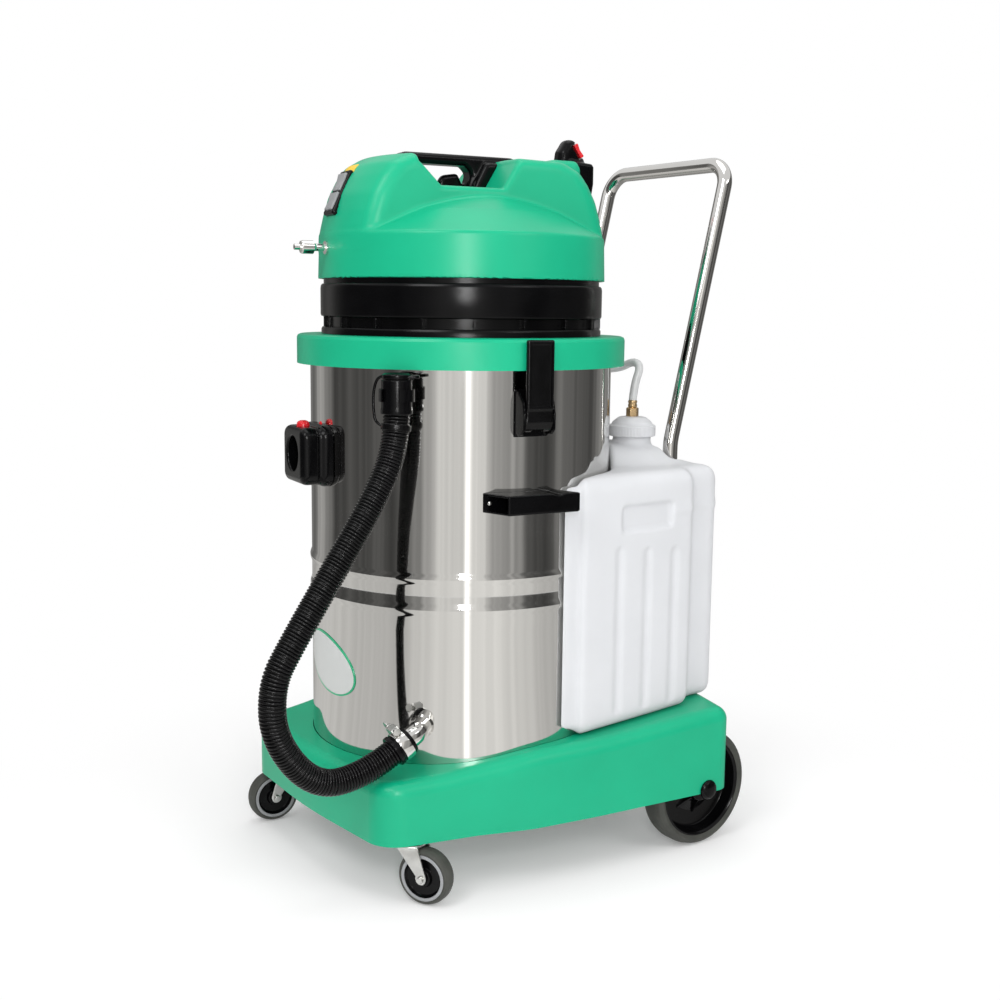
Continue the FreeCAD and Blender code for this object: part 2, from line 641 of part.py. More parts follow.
base_outer = [("flange_radius", "ring_top"), ("flange_radius", "flange_top"),
              ("gap_radius", "flange_top"), ("gap_radius", "gap_top"),
              ("band_radius", "gap_top"), ("band_radius", "band_top"),
              ("neck_radius", "band_top"), ("neck_radius", "neck_top")]
base_inner = [("neck_radius - base_wall", "neck_top"),
              ("neck_radius - base_wall", "band_top - base_wall"),
              ("band_radius - base_wall", "band_top - base_wall"),
              ("band_radius - base_wall", "gap_top + base_wall"),
              ("gap_radius - base_wall", "gap_top + base_wall"),
              ("gap_radius - base_wall", "ring_top + base_wall"),
              ("0", "ring_top + base_wall"), ("0", "ring_top")]
base_can = turned(base_outer + base_inner)
ribs = []
for k in range(18):
    rib = block("-rib_width/2", "rib_width/2", "-flange_radius + 1.5", "-gap_radius + 1",
                "flange_top", "gap_top")
    ribs.append(rib.Shape.rotated(V(0, 0, 0), V(0, 0, 1), 10 + 20 * k))
motor_inlets = [rod("motor_inlet", "2*base_wall", side, 0, "ring_top - base_wall/2")
                for side in ("-motor_offset", "motor_offset")]
rib_ring = fixed_shape(Part.makeCompound(ribs))
seat("head_base", cut(fuse(base_can, rib_ring), *motor_inlets), HEAD)

# ---------------------------------------------------------------- head cover



def crown_level(share, drop=0):
    """Height above the shoulder, as a share of the crown's height."""
    return "ledge_low + %g*crown_tall - %g" % (share, drop)


def crown_edge(inset):
    return "skirt_top_radius - %g" % inset


dome = [("0", "neck_top"), ("skirt_radius", "neck_top"), ("skirt_top_radius", "ledge_low"),
        (crown_edge(3), "ledge_low + 4"), (crown_edge(59), crown_level(0.3)),
        ("head_half + 30", crown_level(0.374)), ("head_half", crown_level(0.486)),
        ("0", crown_level(0.542))]
crown = [("0", "ledge_low - 12"), (crown_edge(1), "ledge_low - 12"),
         (crown_edge(1), crown_level(0.056)), (crown_edge(6), crown_level(0.262)),
         (crown_edge(13), crown_level(0.486)), (crown_edge(24), crown_level(0.692)),
         (crown_edge(33), crown_level(0.813)), (crown_edge(43), crown_level(0.907)),
         (crown_edge(61), "cover_top - 3"), ("0", "cover_top")]
notch = [("notch_front", "cover_top + 30"), ("notch_front", "cover_top - 13"),
         ("notch_floor_front", "notch_floor"), ("notch_floor_back", "notch_floor"),
         ("notch_back", "cover_top - 8"), ("notch_back", "cover_top + 30")]


def slab(half, low, high):
    return block("-(%s)" % half, half, "-260", "260", low, high)


dome_solid = turned(dome)
crown_solid = meet(turned(crown), slab("head_half", "ledge_low - 22", "cover_top + 20"))
rear_hump = across([("hump_front - 20", "cover_top - 20"), ("hump_front", "hump_top"),
                    ("hump_back - 10", "hump_top"), ("hump_back", "hump_top - 8"),
                    ("hump_back", "cover_top - 30")], "hump_half")
notch_solid = across(notch, "head_half + 40")
cover_outside = cut(fuse(dome_solid, crown_solid, rear_hump), notch_solid)

dome_inside = turned([("0", "neck_top - 1"), ("neck_radius - base_wall", "neck_top - 1"),
                      ("neck_radius - base_wall", "neck_top + cover_wall"),
                      ("skirt_radius - cover_wall", "neck_top + cover_wall"),
                      ("skirt_top_radius - cover_wall", "ledge_low - 2"),
                      (crown_edge(5), "ledge_low"),
                      (crown_edge(60), crown_level(0.3) + " - cover_wall"),
                      ("head_half + 29", crown_level(0.374) + " - cover_wall"),
                      ("head_half", crown_level(0.486) + " - cover_wall"),
                      ("0", crown_level(0.542) + " - cover_wall")])
crown_inside = meet(turned([("0", "ledge_low - 17"), (crown_edge(7), "ledge_low - 17"),
                            (crown_edge(7), "ledge_low + 5"),
                            (crown_edge(10), crown_level(0.262, 1)),
                            (crown_edge(17), crown_level(0.486, 1.5)),
                            (crown_edge(27.5), crown_level(0.692, 2)),
                            (crown_edge(36), crown_level(0.813, 2.5)),
                            (crown_edge(45), crown_level(0.907, 3.7)),
                            (crown_edge(62), "cover_top - 6.5"),
                            ("0", "cover_top - cover_wall")]),
                    slab("head_half - cover_wall", "ledge_low - 20", "cover_top + 20"))
notch_liner = across([("notch_front - 5", "cover_top + 30"), ("notch_front - 5", "cover_top - 17"),
                      ("notch_floor_front - 2", "notch_floor - cover_wall"),
                      ("notch_floor_back + 3", "notch_floor - cover_wall"),
                      ("notch_back + 5", "cover_top - 12"), ("notch_back + 5", "cover_top + 30")],
                     "head_half + 40")
cover_inside = cut(fuse(dome_inside, crown_inside), notch_liner)
solid_outside = baked(cover_outside)


def tilted_box(centre, along, normal, half_x, half_long, back, front):
    """Box with one face parallel to a sloping face that runs across x."""
    corners = [centre + along * a + normal * b for a, b in
               ((-half_long, back), (half_long, back), (half_long, front), (-half_long, front))]
    return across_shape([(c.y, c.z) for c in corners], half_x)


slope_top = V(0, -num(crown_edge(31)), num(crown_level(0.7757)))
slope_end = V(0, -num(crown_edge(4)), num(crown_level(0.2243)))
slope_dir = (slope_end - slope_top).normalize()
slope_out = V(0, slope_dir.z, -slope_dir.y).normalize()
slope_long = (slope_end - slope_top).Length
slope_mid = slope_top + slope_dir * (slope_long / 2)
key_half = num("rocker_long/2")
key_centres = [slope_mid + slope_dir * (s * (key_half + 1.6)) + slope_out * num("bezel_depth")
               for s in (-1, 1)]
key_pockets = [tilted_box(c, slope_dir, slope_out, num("rocker_half + free_gap"),
                          key_half + 0.8, -12, 20) for c in key_centres]
seat("head_cover", cut(cover_outside, cover_inside, fixed_shape(Part.makeCompound(key_pockets))),
     HEAD)

# ---------------------------------------------------------------- carry handle, pod, controls

grip_outline = [("notch_front - 12", "grip_top - 34"), ("notch_front - 2", "grip_top - 9"),
                ("notch_front + 10", "grip_top"), ("70", "grip_top"), ("82", "grip_top - 9"),
                ("82", "grip_top - 30"), ("24", "notch_floor - 5"), ("-6", "notch_floor - 5"),
                ("-5", "notch_floor + 9"), ("11", "grip_under - 3"), ("3", "grip_under"),
                ("-78", "grip_under"), ("-87", "grip_under - 6"), ("-89", "grip_under - 20"),
                ("-89", "grip_top - 44")]
seat("carry_handle", cut(across(grip_outline, "grip_half"), baked(solid_outside)), HEAD)

pod_block = across([("hump_back - 6", "hump_top - 60"), ("hump_back - 6", "hump_top + 2"),
                    ("hump_back + 28", "hump_top - 1"), ("hump_back + 31", "hump_top - 6"),
                    ("hump_back + 31", "hump_top - 30"), ("hump_back + 26", "hump_top - 60")],
                   "26")
pod_hump = across([("hump_back - 20", "hump_top - 8"), ("hump_back - 17", "hump_top + 18"),
                   ("hump_back - 10", "hump_top + 29"), ("hump_back - 4", "hump_top + 32"),
                   ("hump_back + 3", "hump_top + 32"), ("hump_back + 22", "hump_top + 4"),
                   ("hump_back + 22", "hump_top - 8")], "19")
pod_slope = V(0, 19, -28).normalize()
pod_normal = V(0, 28, 19).normalize()
slope_middle = V(0, num("hump_back + 12.5"), num("hump_top + 18"))
pod_pocket = tilted_box(slope_middle, pod_slope, pod_normal, 10.3, 11.3, -7, 20)
seat("rear_pod", cut(fuse(pod_block, pod_hump), baked(solid_outside), fixed_shape(pod_pocket)),
     HEAD)


def rocker_shape(centre, along, normal, half_x, half_long):
    """Rocker key: two faces that meet in a shallow valley over the pivot."""
    points = [centre + along * a + normal * b for a, b in
              ((-half_long, -4), (-half_long, 3.2), (0, 1.2), (half_long, 2.2), (half_long, -4),
               (0, -6))]
    pivot = Part.makeCylinder(num("pivot_radius"), 2 * half_x + 2,
                              V(-half_x - 1, centre.y, centre.z), V(1, 0, 0))
    return across_shape([(p.y, p.z) for p in points], half_x).cut(pivot)


seat("pump_switch", fixed_shape(rocker_shape(slope_middle, pod_slope, pod_normal, 10, 10.6)), HEAD)

bezel_box = tilted_box(slope_mid, slope_dir, slope_out, num("bezel_half"), slope_long / 2, -12,
                       num("bezel_depth"))
bezel = Part.Shape(bezel_box)
bezel = bezel.cut(solid_outside.Shape)
for pocket in key_pockets:
    bezel = bezel.cut(pocket)
seat("switch_bezel", fixed_shape(bezel), HEAD)
for name, centre in zip(("upper_switch", "lower_switch"), key_centres):
    key = rocker_shape(centre, slope_dir, slope_out, num("rocker_half"), key_half)
    seat(name, fixed_shape(key), HEAD)

coupling = turned([("-coupling_reach", "0"), ("-coupling_reach", "4"),
                   ("-coupling_reach + 9", "4"), ("-coupling_reach + 9", "coupling_sleeve - 1"),
                   ("-coupling_reach + 11", "coupling_sleeve"),
                   ("-coupling_reach + 26", "coupling_sleeve"),
                   ("-coupling_reach + 26", "coupling_tube + 1"),
                   ("-coupling_reach + 30", "coupling_tube"),
                   ("-skirt_radius - 2", "coupling_tube"), ("-skirt_radius - 2", "9"),
                   ("-skirt_radius + 12", "9"), ("-skirt_radius + 12", "0")], "Y")
coupling_bore = rod("2", "60", 0, "-coupling_reach - 1", 0, "Y")
coupling_level = num("coupling_level")
cover_low = solid_outside.Shape.copy()
cover_low.translate(V(0, 0, -coupling_level))
seat("spray_coupling", cut(coupling, coupling_bore, fixed_shape(cover_low)), HEAD,
     z="coupling_level")

# ---------------------------------------------------------------- motors, fans, pump, pan, float


def motor(sign):
    floor = "ring_top + base_wall"
    can = turned([("motor_inlet", floor), ("motor_can", floor), ("motor_can", "motor_can_top"),
                  ("motor_core", "motor_can_top"), ("motor_core", "motor_top - 6"),
                  ("motor_core - 6", "motor_top"), ("0", "motor_top"),
                  ("0", "fan_low"), ("shaft_radius", "fan_low"),
                  ("shaft_radius", "motor_can_top - can_wall"),
                  ("motor_can - can_wall", "motor_can_top - can_wall"),
                  ("motor_can - can_wall", floor + " + can_wall"),
                  ("motor_inlet", floor + " + can_wall")])
    return can


def fan():
    return turned([("shaft_radius + turn_gap", "fan_low"), ("fan_radius", "fan_low"),
                   ("fan_radius", "fan_low + 2"), ("14", "fan_low + 4"), ("14", "fan_high - 2"),
                   ("fan_radius", "fan_high - 2"), ("fan_radius", "fan_high"),
                   ("shaft_radius + turn_gap", "fan_high")])


for letter, sign in (("a", 1), ("b", -1)):
    spot_x = "%d*motor_offset*cos(drum_turn)" % sign
    spot_y = "%d*motor_offset*sin(drum_turn)" % sign
    seat("motor_" + letter, motor(sign), HEAD, spot_x, spot_y)
    blades = [block("shaft_radius + 8", "fan_radius - 2", "-1", "1", "fan_low + 1",
                    "fan_high - 1").Shape.rotated(V(0, 0, 0), V(0, 0, 1), 60 * k)
              for k in range(6)]
    wheel = fuse(fan(), fixed_shape(Part.makeCompound(blades)))
    seat("fan_" + letter, wheel, HEAD, spot_x, spot_y)

pump_body = block("-pump_half", "pump_half", "pump_front", "pump_back", "ring_top + base_wall",
                  "ring_top + base_wall + pump_tall")
pump_head = rod("16", "24", "-pump_half - 14", "(pump_front + pump_back)/2",
                "ring_top + base_wall + pump_tall/2", "X")
seat("pump", fuse(pump_body, pump_head), HEAD)

pan = turned([("pan_radius", "ring_top"), ("pan_radius", "ring_top - pan_wall"),
              ("pan_radius - 6", "ring_top - pan_wall"), ("pan_radius - 16", "pan_low"),
              ("pan_hole", "pan_low"), ("pan_hole", "pan_low + pan_wall"),
              ("pan_radius - 18", "pan_low + pan_wall"),
              ("pan_radius - 9", "ring_top - pan_wall"), ("pan_radius - 9", "ring_top")])
seat("plenum_pan", pan, HEAD)

cage_can = turned([("0", "cage_low"), ("cage_radius", "cage_low"), ("cage_radius", "pan_low"),
                   ("cage_radius - cage_wall", "pan_low"),
                   ("cage_radius - cage_wall", "cage_low + cage_wall"),
                   ("0", "cage_low + cage_wall")])
windows = [block("-8", "8", "-cage_radius - 5", "-cage_radius + 10", "cage_low + 14",
                 "pan_low - 14").Shape.rotated(V(0, 0, 0), V(0, 0, 1), 45 * k) for k in range(8)]
drains = [rod("8", "20", "24*cos(%d)" % (90 * k), "24*sin(%d)" % (90 * k), "cage_low - 5").Shape
          for k in range(4)]
seat("float_cage", cut(cage_can, fixed_shape(Part.makeCompound(windows)),
                       fixed_shape(Part.makeCompound(drains))), HEAD)
ball = doc.addObject("Part::Sphere", unique("ball"))
ball.setExpression("Radius", bind("ball_radius"))
seat("float_ball", ball, HEAD, z="cage_low + cage_wall + ball_radius")

# ---------------------------------------------------------------- cart base

DECK = [(-275, 165), (-190, 167), (-118, 173), (-75, 180), (-35, 186), (40, 189), (180, 197),
        (285, num("deck_back")), (340, num("deck_back"))]
PLAN = [(0, -255, 900), (188, -243, 45), (216, -115, 90), (240, -40, 150), (254, 60, 300),
        (276, 292, 23), (150, 326, 120), (0, 334, 600)]


def plan_points(inset):
    """Whole plan outline, mirrored, moved inward by an inset."""
    right = []
    for x, y, radius in PLAN:
        length = math.hypot(x, y - 30)
        grow = 1 - inset / length
        right.append((x * grow, 30 + (y - 30) * grow, max(radius - inset, 3)))
    left = [(-x, y, radius) for x, y, radius in right[1:-1]][::-1]
    return right + left


def deck_solid(drop, half, low):
    """Everything under the deck's crowned top, lowered by a drop."""
    crown = Part.BSplineCurve()
    crown.interpolate([V(-half, y, z - drop) for y, z in DECK])
    front = V(-half, DECK[0][0], DECK[0][1] - drop)
    back = V(-half, DECK[-1][0], DECK[-1][1] - drop)
    front_low = V(-half, front.y, low)
    back_low = V(-half, back.y, low)
    wire = Part.Wire([crown.toShape(), Part.makeLine(back, back_low),
                      Part.makeLine(back_low, front_low), Part.makeLine(front_low, front)])
    return Part.Face(wire).extrude(V(2 * half, 0, 0))


base_low = num("base_low")
shell = num("base_shell")
outside = prism(plan_points(0), base_low, 260).common(deck_solid(0, 400, 0))


def rounded_top(solid, radius):
    """Round the border of the deck, where it meets the side walls."""
    def up(face):
        u0, u1, v0, v1 = face.ParameterRange
        return face.normalAt((u0 + u1) / 2, (v0 + v1) / 2).z > 0.5
    top_face = max([f for f in solid.Faces if up(f)], key=lambda f: f.Area)
    return solid.makeFillet(radius, top_face.OuterWire.Edges)


outside = rounded_top(outside, num("edge_round"))
hollow = prism(plan_points(shell), base_low - 5, 260).common(deck_solid(shell, 400, 0))
hollow = rounded_top(hollow, num("edge_round - base_shell"))
recess_radius = num("drum_radius + recess_gap")
recess = Part.makeCylinder(recess_radius, 100, V(0, 0, num("drum_seat")))
pot = Part.makeCylinder(recess_radius + shell, 150, V(0, 0, num("drum_seat") - shell))
bosses = []
for x_sign in (-1, 1):
    bosses.append(Part.makeCylinder(num("plate_radius + 3"), 100,
                                    V(x_sign * num("caster_x"), num("caster_y"),
                                      num("plate_top"))))
posts = []
for x_sign in (-1, 1):
    posts.append(Part.makeBox(8, 40, 127, V(x_sign * 196 - 4, num("wheel_y") - 20,
                                            num("wheel_radius - axle_radius - 6"))))
hollow = hollow.cut([pot] + bosses)
king_holes = [Part.makeCylinder(num("king_radius + 3"), 12,
                                V(s * num("caster_x"), num("caster_y"), num("plate_top") - 1))
              for s in (-1, 1)]
wells = []
for x_sign in (-1, 1):
    inner_x = num("well_inner")
    outer_x = num("wheel_outer") + 6
    start_x = inner_x if x_sign > 0 else -outer_x
    wells.append(Part.makeBox(outer_x - inner_x, 120, num("2*wheel_radius + 8") - base_low,
                              V(start_x, num("wheel_y"), base_low)))
axle_grip = Part.makeCylinder(num("axle_radius"), 600, V(-300, num("wheel_y"),
                                                         num("wheel_radius")), V(1, 0, 0))
base = outside.cut([recess, hollow] + king_holes + wells).fuse(posts)
edge_slots = []
for x_sign in (-1, 1):
    start_x = 264 if x_sign > 0 else -300
    slot_r = num("axle_radius + notch_gap")
    edge_slots.append(Part.makeCylinder(slot_r, 36, V(start_x, num("wheel_y"),
                                                      num("wheel_radius")), V(1, 0, 0)))
relief_points = [("well_inner", "0"), ("well_inner", "wheel_radius + tyre_gap"),
                 ("wheel_outer - 8", "wheel_radius + tyre_gap"),
                 ("wheel_outer - 2", "wheel_radius - 3 + tyre_gap"),
                 ("wheel_outer + tyre_gap", "wheel_radius - 9 + tyre_gap"),
                 ("wheel_outer + tyre_gap", "0")]
relief = turned(relief_points, "X").Shape.copy()
for spin in (0, 180):
    turned_relief = relief.rotated(V(0, 0, 0), V(0, 0, 1), spin)
    turned_relief.translate(V(0, num("wheel_y"), num("wheel_radius")))
    edge_slots.append(turned_relief)
base = base.cut(edge_slots + [axle_grip])
print("cart_base solids", len(base.Solids), "valid", base.isValid())
base = sorted(base.Solids, key=lambda s: s.Volume)[-1]
seat("cart_base", fixed_shape(base))

# ---------------------------------------------------------------- rear axle and wheels

axle = turned([("-axle_half", "0"), ("-axle_half", "axle_radius"), ("axle_half", "axle_radius"),
               ("axle_half", "0")], "X")
seat("rear_axle", axle, y="wheel_y", z="wheel_radius")

dome_cap = turned([("axle_half", "0"), ("axle_half + cap_rise", "0"),
                   ("axle_half + cap_rise - 0.6", "cap_dome/2"),
                   ("axle_half + cap_rise - 2.4", "cap_dome - 3"), ("axle_half + 1", "cap_dome"),
                   ("axle_half - 0.2", "cap_dome"), ("axle_half - 0.2", "axle_radius"),
                   ("axle_half", "axle_radius")], "X")
pair = Part.makeCompound([dome_cap.Shape.copy(),
                          dome_cap.Shape.rotated(V(0, 0, 0), V(0, 0, 1), 180)])
seat("axle_caps", fixed_shape(pair), y="wheel_y", z="wheel_radius")

wheel_inner = "wheel_outer - wheel_width"
tyre_points = [(wheel_inner + " + 3", "rim_radius"), (wheel_inner, "rim_radius + 4"),
               (wheel_inner, "wheel_radius - 9"), (wheel_inner + " + 3", "wheel_radius - 3"),
               (wheel_inner + " + 9", "wheel_radius"), ("wheel_outer - 9", "wheel_radius"),
               ("wheel_outer - 3", "wheel_radius - 3"), ("wheel_outer", "wheel_radius - 9"),
               ("wheel_outer", "rim_radius + 4"), ("wheel_outer - 3", "rim_radius")]
hub_points = [(wheel_inner, "axle_radius + turn_gap"), (wheel_inner, "20"),
              (wheel_inner + " + 14", "22"), (wheel_inner + " + 14", "rim_radius - 8"),
              (wheel_inner + " + 3", "rim_radius - 5"), (wheel_inner + " + 3", "rim_radius"),
              ("wheel_outer - 3", "rim_radius"), ("wheel_outer - 3", "rim_radius - 5"),
              ("wheel_outer - 20", "rim_radius - 10"), ("wheel_outer - 20", "22"),
              ("wheel_outer", "20"), ("wheel_outer", "axle_radius + turn_gap")]


def mirrored(points):
    return [("-(%s)" % a, b) for a, b in points][::-1]


for prefix, change in (("right", lambda p: p), ("left", mirrored)):
    seat(prefix + "_tyre", turned(change(tyre_points), "X"), y="wheel_y", z="wheel_radius")
    seat(prefix + "_hub", turned(change(hub_points), "X"), y="wheel_y", z="wheel_radius")

# ---------------------------------------------------------------- casters

plates = []
for x_sign in (-1, 1):
    x = x_sign * num("caster_x")
    y = num("caster_y")
    plate = Part.makeCylinder(num("plate_radius"), num("plate_top - plate_low"),
                              V(x, y, num("plate_low")))
    race = Part.makeCylinder(num("race_radius"), num("plate_low - crown_top"),
                             V(x, y, num("crown_top")))
    bore = Part.makeCylinder(num("king_radius + turn_gap"), 40, V(x, y, num("crown_top") - 10))
    plates.append(plate.fuse(race).cut(bore).removeSplitter())
seat("caster_plates", fixed_shape(Part.makeCompound(plates)))

leg_inner = "caster_width/2 + leg_gap"
leg_outer = leg_inner + " + leg_plate"
leg_outline = [("12", "crown_low + 1"), ("-19", "crown_low + 1"),
               ("-caster_trail - 9", "caster_radius + 3"),
               ("-caster_trail - 6", "caster_radius - 7"), ("-caster_trail", "caster_radius - 9"),
               ("-caster_trail + 6", "caster_radius - 7"),
               ("-caster_trail + 9", "caster_radius + 3")]


def fork():
    crown = turned([("0", "crown_low"), ("crown_radius - 2", "crown_low"),
                    ("crown_radius", "crown_low + 2"), ("crown_radius", "crown_top"),
                    ("king_radius", "crown_top"), ("king_radius", "plate_top"),
                    ("0", "plate_top")])
    legs = [padded("YZ_Plane", leg_outline, leg_inner, leg_outer),
            padded("YZ_Plane", leg_outline, "-(%s)" % leg_outer, "-(%s)" % leg_inner)]
    bolt_hole = rod("bolt_radius", "80", "-40", "-caster_trail", "caster_radius", "X")
    return cut(fuse(crown, *legs), bolt_hole)


def caster_bolt():
    reach = "caster_width/2 + leg_gap + leg_plate"
    return turned([("-(%s) - 4" % reach, "0"), ("-(%s) - 4" % reach, "bolt_head"),
                   ("-(%s)" % reach, "bolt_head"), ("-(%s)" % reach, "bolt_radius"),
                   (reach, "bolt_radius"), (reach, "bolt_head"), (reach + " + 4", "bolt_head"),
                   (reach + " + 4", "0")], "X")


def caster_wheel():
    half = "caster_width/2"
    return turned([("-(%s) + 1" % half, "bolt_radius + turn_gap"), ("-(%s)" % half, "12"),
                   ("-(%s) + 5" % half, "14"), ("-(%s) + 5" % half, "24"),
                   ("-(%s)" % half, "26"), ("-(%s)" % half, "caster_radius - 5"),
                   ("-(%s) + 5" % half, "caster_radius"), (half + " - 5", "caster_radius"),
                   (half, "caster_radius - 5"), (half, "26"), (half + " - 5", "24"),
                   (half + " - 5", "14"), (half, "12"),
                   (half + " - 1", "bolt_radius + turn_gap")], "X")


for prefix, x_sign, trail in (("right", "", "near_trail"), ("left", "-", "far_trail")):
    x = x_sign + "caster_x"
    seat(prefix + "_fork", fork(), trail, x, "caster_y")
    spot_x = "%s + caster_trail*sin(%s)" % (x, trail)
    spot_y = "caster_y - caster_trail*cos(%s)" % trail
    seat(prefix + "_caster_bolt", caster_bolt(), trail, spot_x, spot_y, "caster_radius")
    seat(prefix + "_caster_wheel", caster_wheel(), trail, spot_x, spot_y, "caster_radius")

# ---------------------------------------------------------------- solution tank


def tank_plan(inset):
    half = num("tank_half") - inset
    rear = num("tank_rear_half") - inset
    back = num("tank_back") - inset
    step = num("tank_rear_step") - inset * 0.4
    front = num("tank_step") + inset * 3
    right = [(half, front, 10), (half, step, 12), (rear, step + 18, 12), (rear, back, 20)]
    left = [(-x, y, radius) for x, y, radius in right][::-1]
    return right + left


wall = num("tank_wall")
tank_top = num("tank_top")
deck = deck_solid(0, 400, 0)
drum_gap = num("drum_radius + tank_gap")
core = Part.makeCylinder(drum_gap, 700, V(0, 0, 0))
body_out = prism(tank_plan(0), 150, tank_top)
wing_box = Part.makeBox(num("2*wing_half"), num("tank_step - tank_front + 30"), 700 - 150,
                        V(-num("wing_half"), num("tank_front"), 150))
wing_top = across_shape([(0, 150), (0, tank_top + 9), (num("tank_front"), tank_top + 2),
                         (num("tank_step"), tank_top + 24), (60, tank_top + 9), (90, tank_top),
                         (90, 150)], 300)
wings = wing_box.common(wing_top)


def tank_hump(inset, rise):
    low_wire = rounded_plan([(150 - inset, 150, 20), (176 - inset, 232, 20),
                             (168 - inset, 304 - inset, 24), (-168 + inset, 304 - inset, 24),
                             (-176 + inset, 232, 20), (-150 + inset, 150, 20)])
    high_wire = rounded_plan([(112 - inset, 170, 20), (140 - inset, 226, 20),
                              (134 - inset, 280 - inset, 24), (-134 + inset, 280 - inset, 24),
                              (-140 + inset, 226, 20), (-112 + inset, 170, 20)])
    low_wire.translate(V(0, 0, tank_top - 20))
    high_wire.translate(V(0, 0, num("hump_level") - rise))
    return Part.makeLoft([low_wire, high_wire], True, True)


neck_out = Part.makeCylinder(num("filler_radius"), num("filler_top") - tank_top + 10,
                             V(num("filler_x"), num("filler_y"), tank_top - 10))
neck_in = Part.makeCylinder(num("neck_bore"), 120, V(num("filler_x"), num("filler_y"),
                                                     tank_top - 20))
channels = [Part.makeBox(num("2*channel_half"), 60, 600,
                         V(s * num("leg_half") - num("channel_half"), num("channel_front"), 0))
            for s in (-1, 1)]
tank_out = body_out.fuse([wings, tank_hump(0, 0), neck_out]).cut([core, deck] + channels)
cavity_body = prism(tank_plan(wall), 150, tank_top - wall)
deck_up = deck_solid(-wall, 400, 0)
core_out = Part.makeCylinder(drum_gap + wall, 700, V(0, 0, 0))
channel_out = [Part.makeBox(num("2*channel_half") + 2 * wall, 80, 600,
                            V(s * num("leg_half") - num("channel_half") - wall,
                              num("channel_front") - wall, 0)) for s in (-1, 1)]
grips = []
grip_walls = []
for s in (-1, 1):
    depth = num("grip_depth")
    x0 = num("tank_half") - depth
    start = x0 if s > 0 else -x0 - 40
    grips.append(Part.makeBox(40, num("grip_back - grip_front"), num("grip_high - grip_low"),
                              V(start, num("grip_front"), num("grip_low"))))
    start = x0 - wall if s > 0 else -x0 - 40
    grip_walls.append(Part.makeBox(40 + wall, num("grip_back - grip_front") + 2 * wall,
                                   num("grip_high - grip_low") + 2 * wall,
                                   V(start, num("grip_front") - wall, num("grip_low") - wall)))
cavity = cavity_body.fuse([tank_hump(wall, wall)]).cut([core_out, deck_up] + channel_out
                                                        + grip_walls)
cavity_front = Part.makeBox(600, num("tank_step + 16") + 300, 900, V(-300, -300, 0))
cavity = cavity.cut(cavity_front)
tank = tank_out.cut([cavity, neck_in] + grips)
print("solution_tank solids", len(tank.Solids), [round(s.Volume) for s in tank.Solids],
      "valid", tank.isValid())
tank = sorted(tank.Solids, key=lambda s: s.Volume)[-1]
seat("solution_tank", fixed_shape(tank))

FILLER = ("filler_x", "filler_y")
lid = turned([("nut_half - 1", "lid_top - lid_wall"), ("nut_half - 1", "lid_top"),
              ("20", "lid_top - 3"), ("29", "lid_top - 9"), ("lid_radius - 1", "lid_top - 16"),
              ("lid_radius", "lid_low + 8"), ("lid_radius", "lid_low"),
              ("lid_radius - lid_wall", "lid_low"), ("lid_radius - lid_wall", "lid_low + 8"),
              ("filler_radius + free_gap", "lid_low + 8"),
              ("filler_radius + free_gap", "filler_top"),
              ("filler_radius + free_gap - 0.5", "lid_top - 14"),
              ("19", "lid_top - 3 - lid_wall")])
seat("solution_cap", lid, "0", *FILLER)
fitting = turned([("tube_bore", "lid_top - lid_wall - 12"), ("5.5", "lid_top - lid_wall - 12"),
                  ("5.5", "lid_top - lid_wall - 6"), ("12", "lid_top - lid_wall - 5"),
                  ("12", "lid_top - lid_wall - free_gap - 1"),
                  ("8", "lid_top - lid_wall - free_gap - 1"), ("8", "lid_top + free_gap"),
                  ("nut_half", "lid_top + free_gap"), ("nut_half", "nut_top"),
                  ("barb_radius", "nut_top"), ("barb_radius", "barb_top"),
                  ("tube_bore", "barb_top")])
seat("hose_fitting", fitting, "0", *FILLER)
dip = turned([("tube_bore", "deck_back + 12"), ("5.5", "deck_back + 12"),
              ("5.5", "lid_top - lid_wall - 12"), ("tube_bore", "lid_top - lid_wall - 12")])
seat("dip_tube", dip, "0", *FILLER)

# ---------------------------------------------------------------- clear feed hose

feed_start = V(num("filler_x"), num("filler_y"), num("barb_top + feed_seat"))
feed_end = local("0", "-feed_reach", "feed_level", "feed_turn")
feed_turn_point = local("0", "-feed_reach - 29", "feed_level", "feed_turn")
feed_route = [feed_start, V(101, 243, 665), V(105, 251, 691), V(79, 259, 698), feed_turn_point,
              feed_end]
seat("feed_hose", fixed_shape(tube(feed_route, num("feed_radius"), num("feed_bore"),
                                   report="feed_hose")))
spigot_dir = (feed_end - feed_turn_point).normalize()
spigot = Part.makeCylinder(num("feed_radius"), 24, feed_end, spigot_dir).cut(
    Part.makeCylinder(num("feed_bore"), 30, feed_end, spigot_dir))
seat("wall_fitting", fixed_shape(spigot))

# ---------------------------------------------------------------- push handle

leg = num("leg_half")
socket_floor = num("deck_back") + 2
handle_route = [V(leg, num("leg_y"), socket_floor), V(leg, num("leg_y"), num("bend_level")),
                V(leg, num("bar_y"), num("bar_level")), V(-leg, num("bar_y"), num("bar_level")),
                V(-leg, num("leg_y"), num("bend_level")), V(-leg, num("leg_y"), socket_floor)]
knee = num("knee_radius")
corner = num("corner_radius")
handle = tube(handle_route, num("bar_radius"), num("bar_radius - bar_wall"),
              radii=[knee, corner, corner, knee])
seat("push_handle", fixed_shape(handle))
sockets = []
for s in (-1, 1):
    spot = V(s * leg, num("leg_y"), socket_floor - 15)
    collar = Part.makeCylinder(num("socket_radius"), num("socket_tall") + 15, spot)
    sockets.append(collar.cut([Part.makeCylinder(num("bar_radius"), 100, spot), outside]))
seat("handle_sockets", fixed_shape(Part.makeCompound(sockets)))

# ---------------------------------------------------------------- checks and export

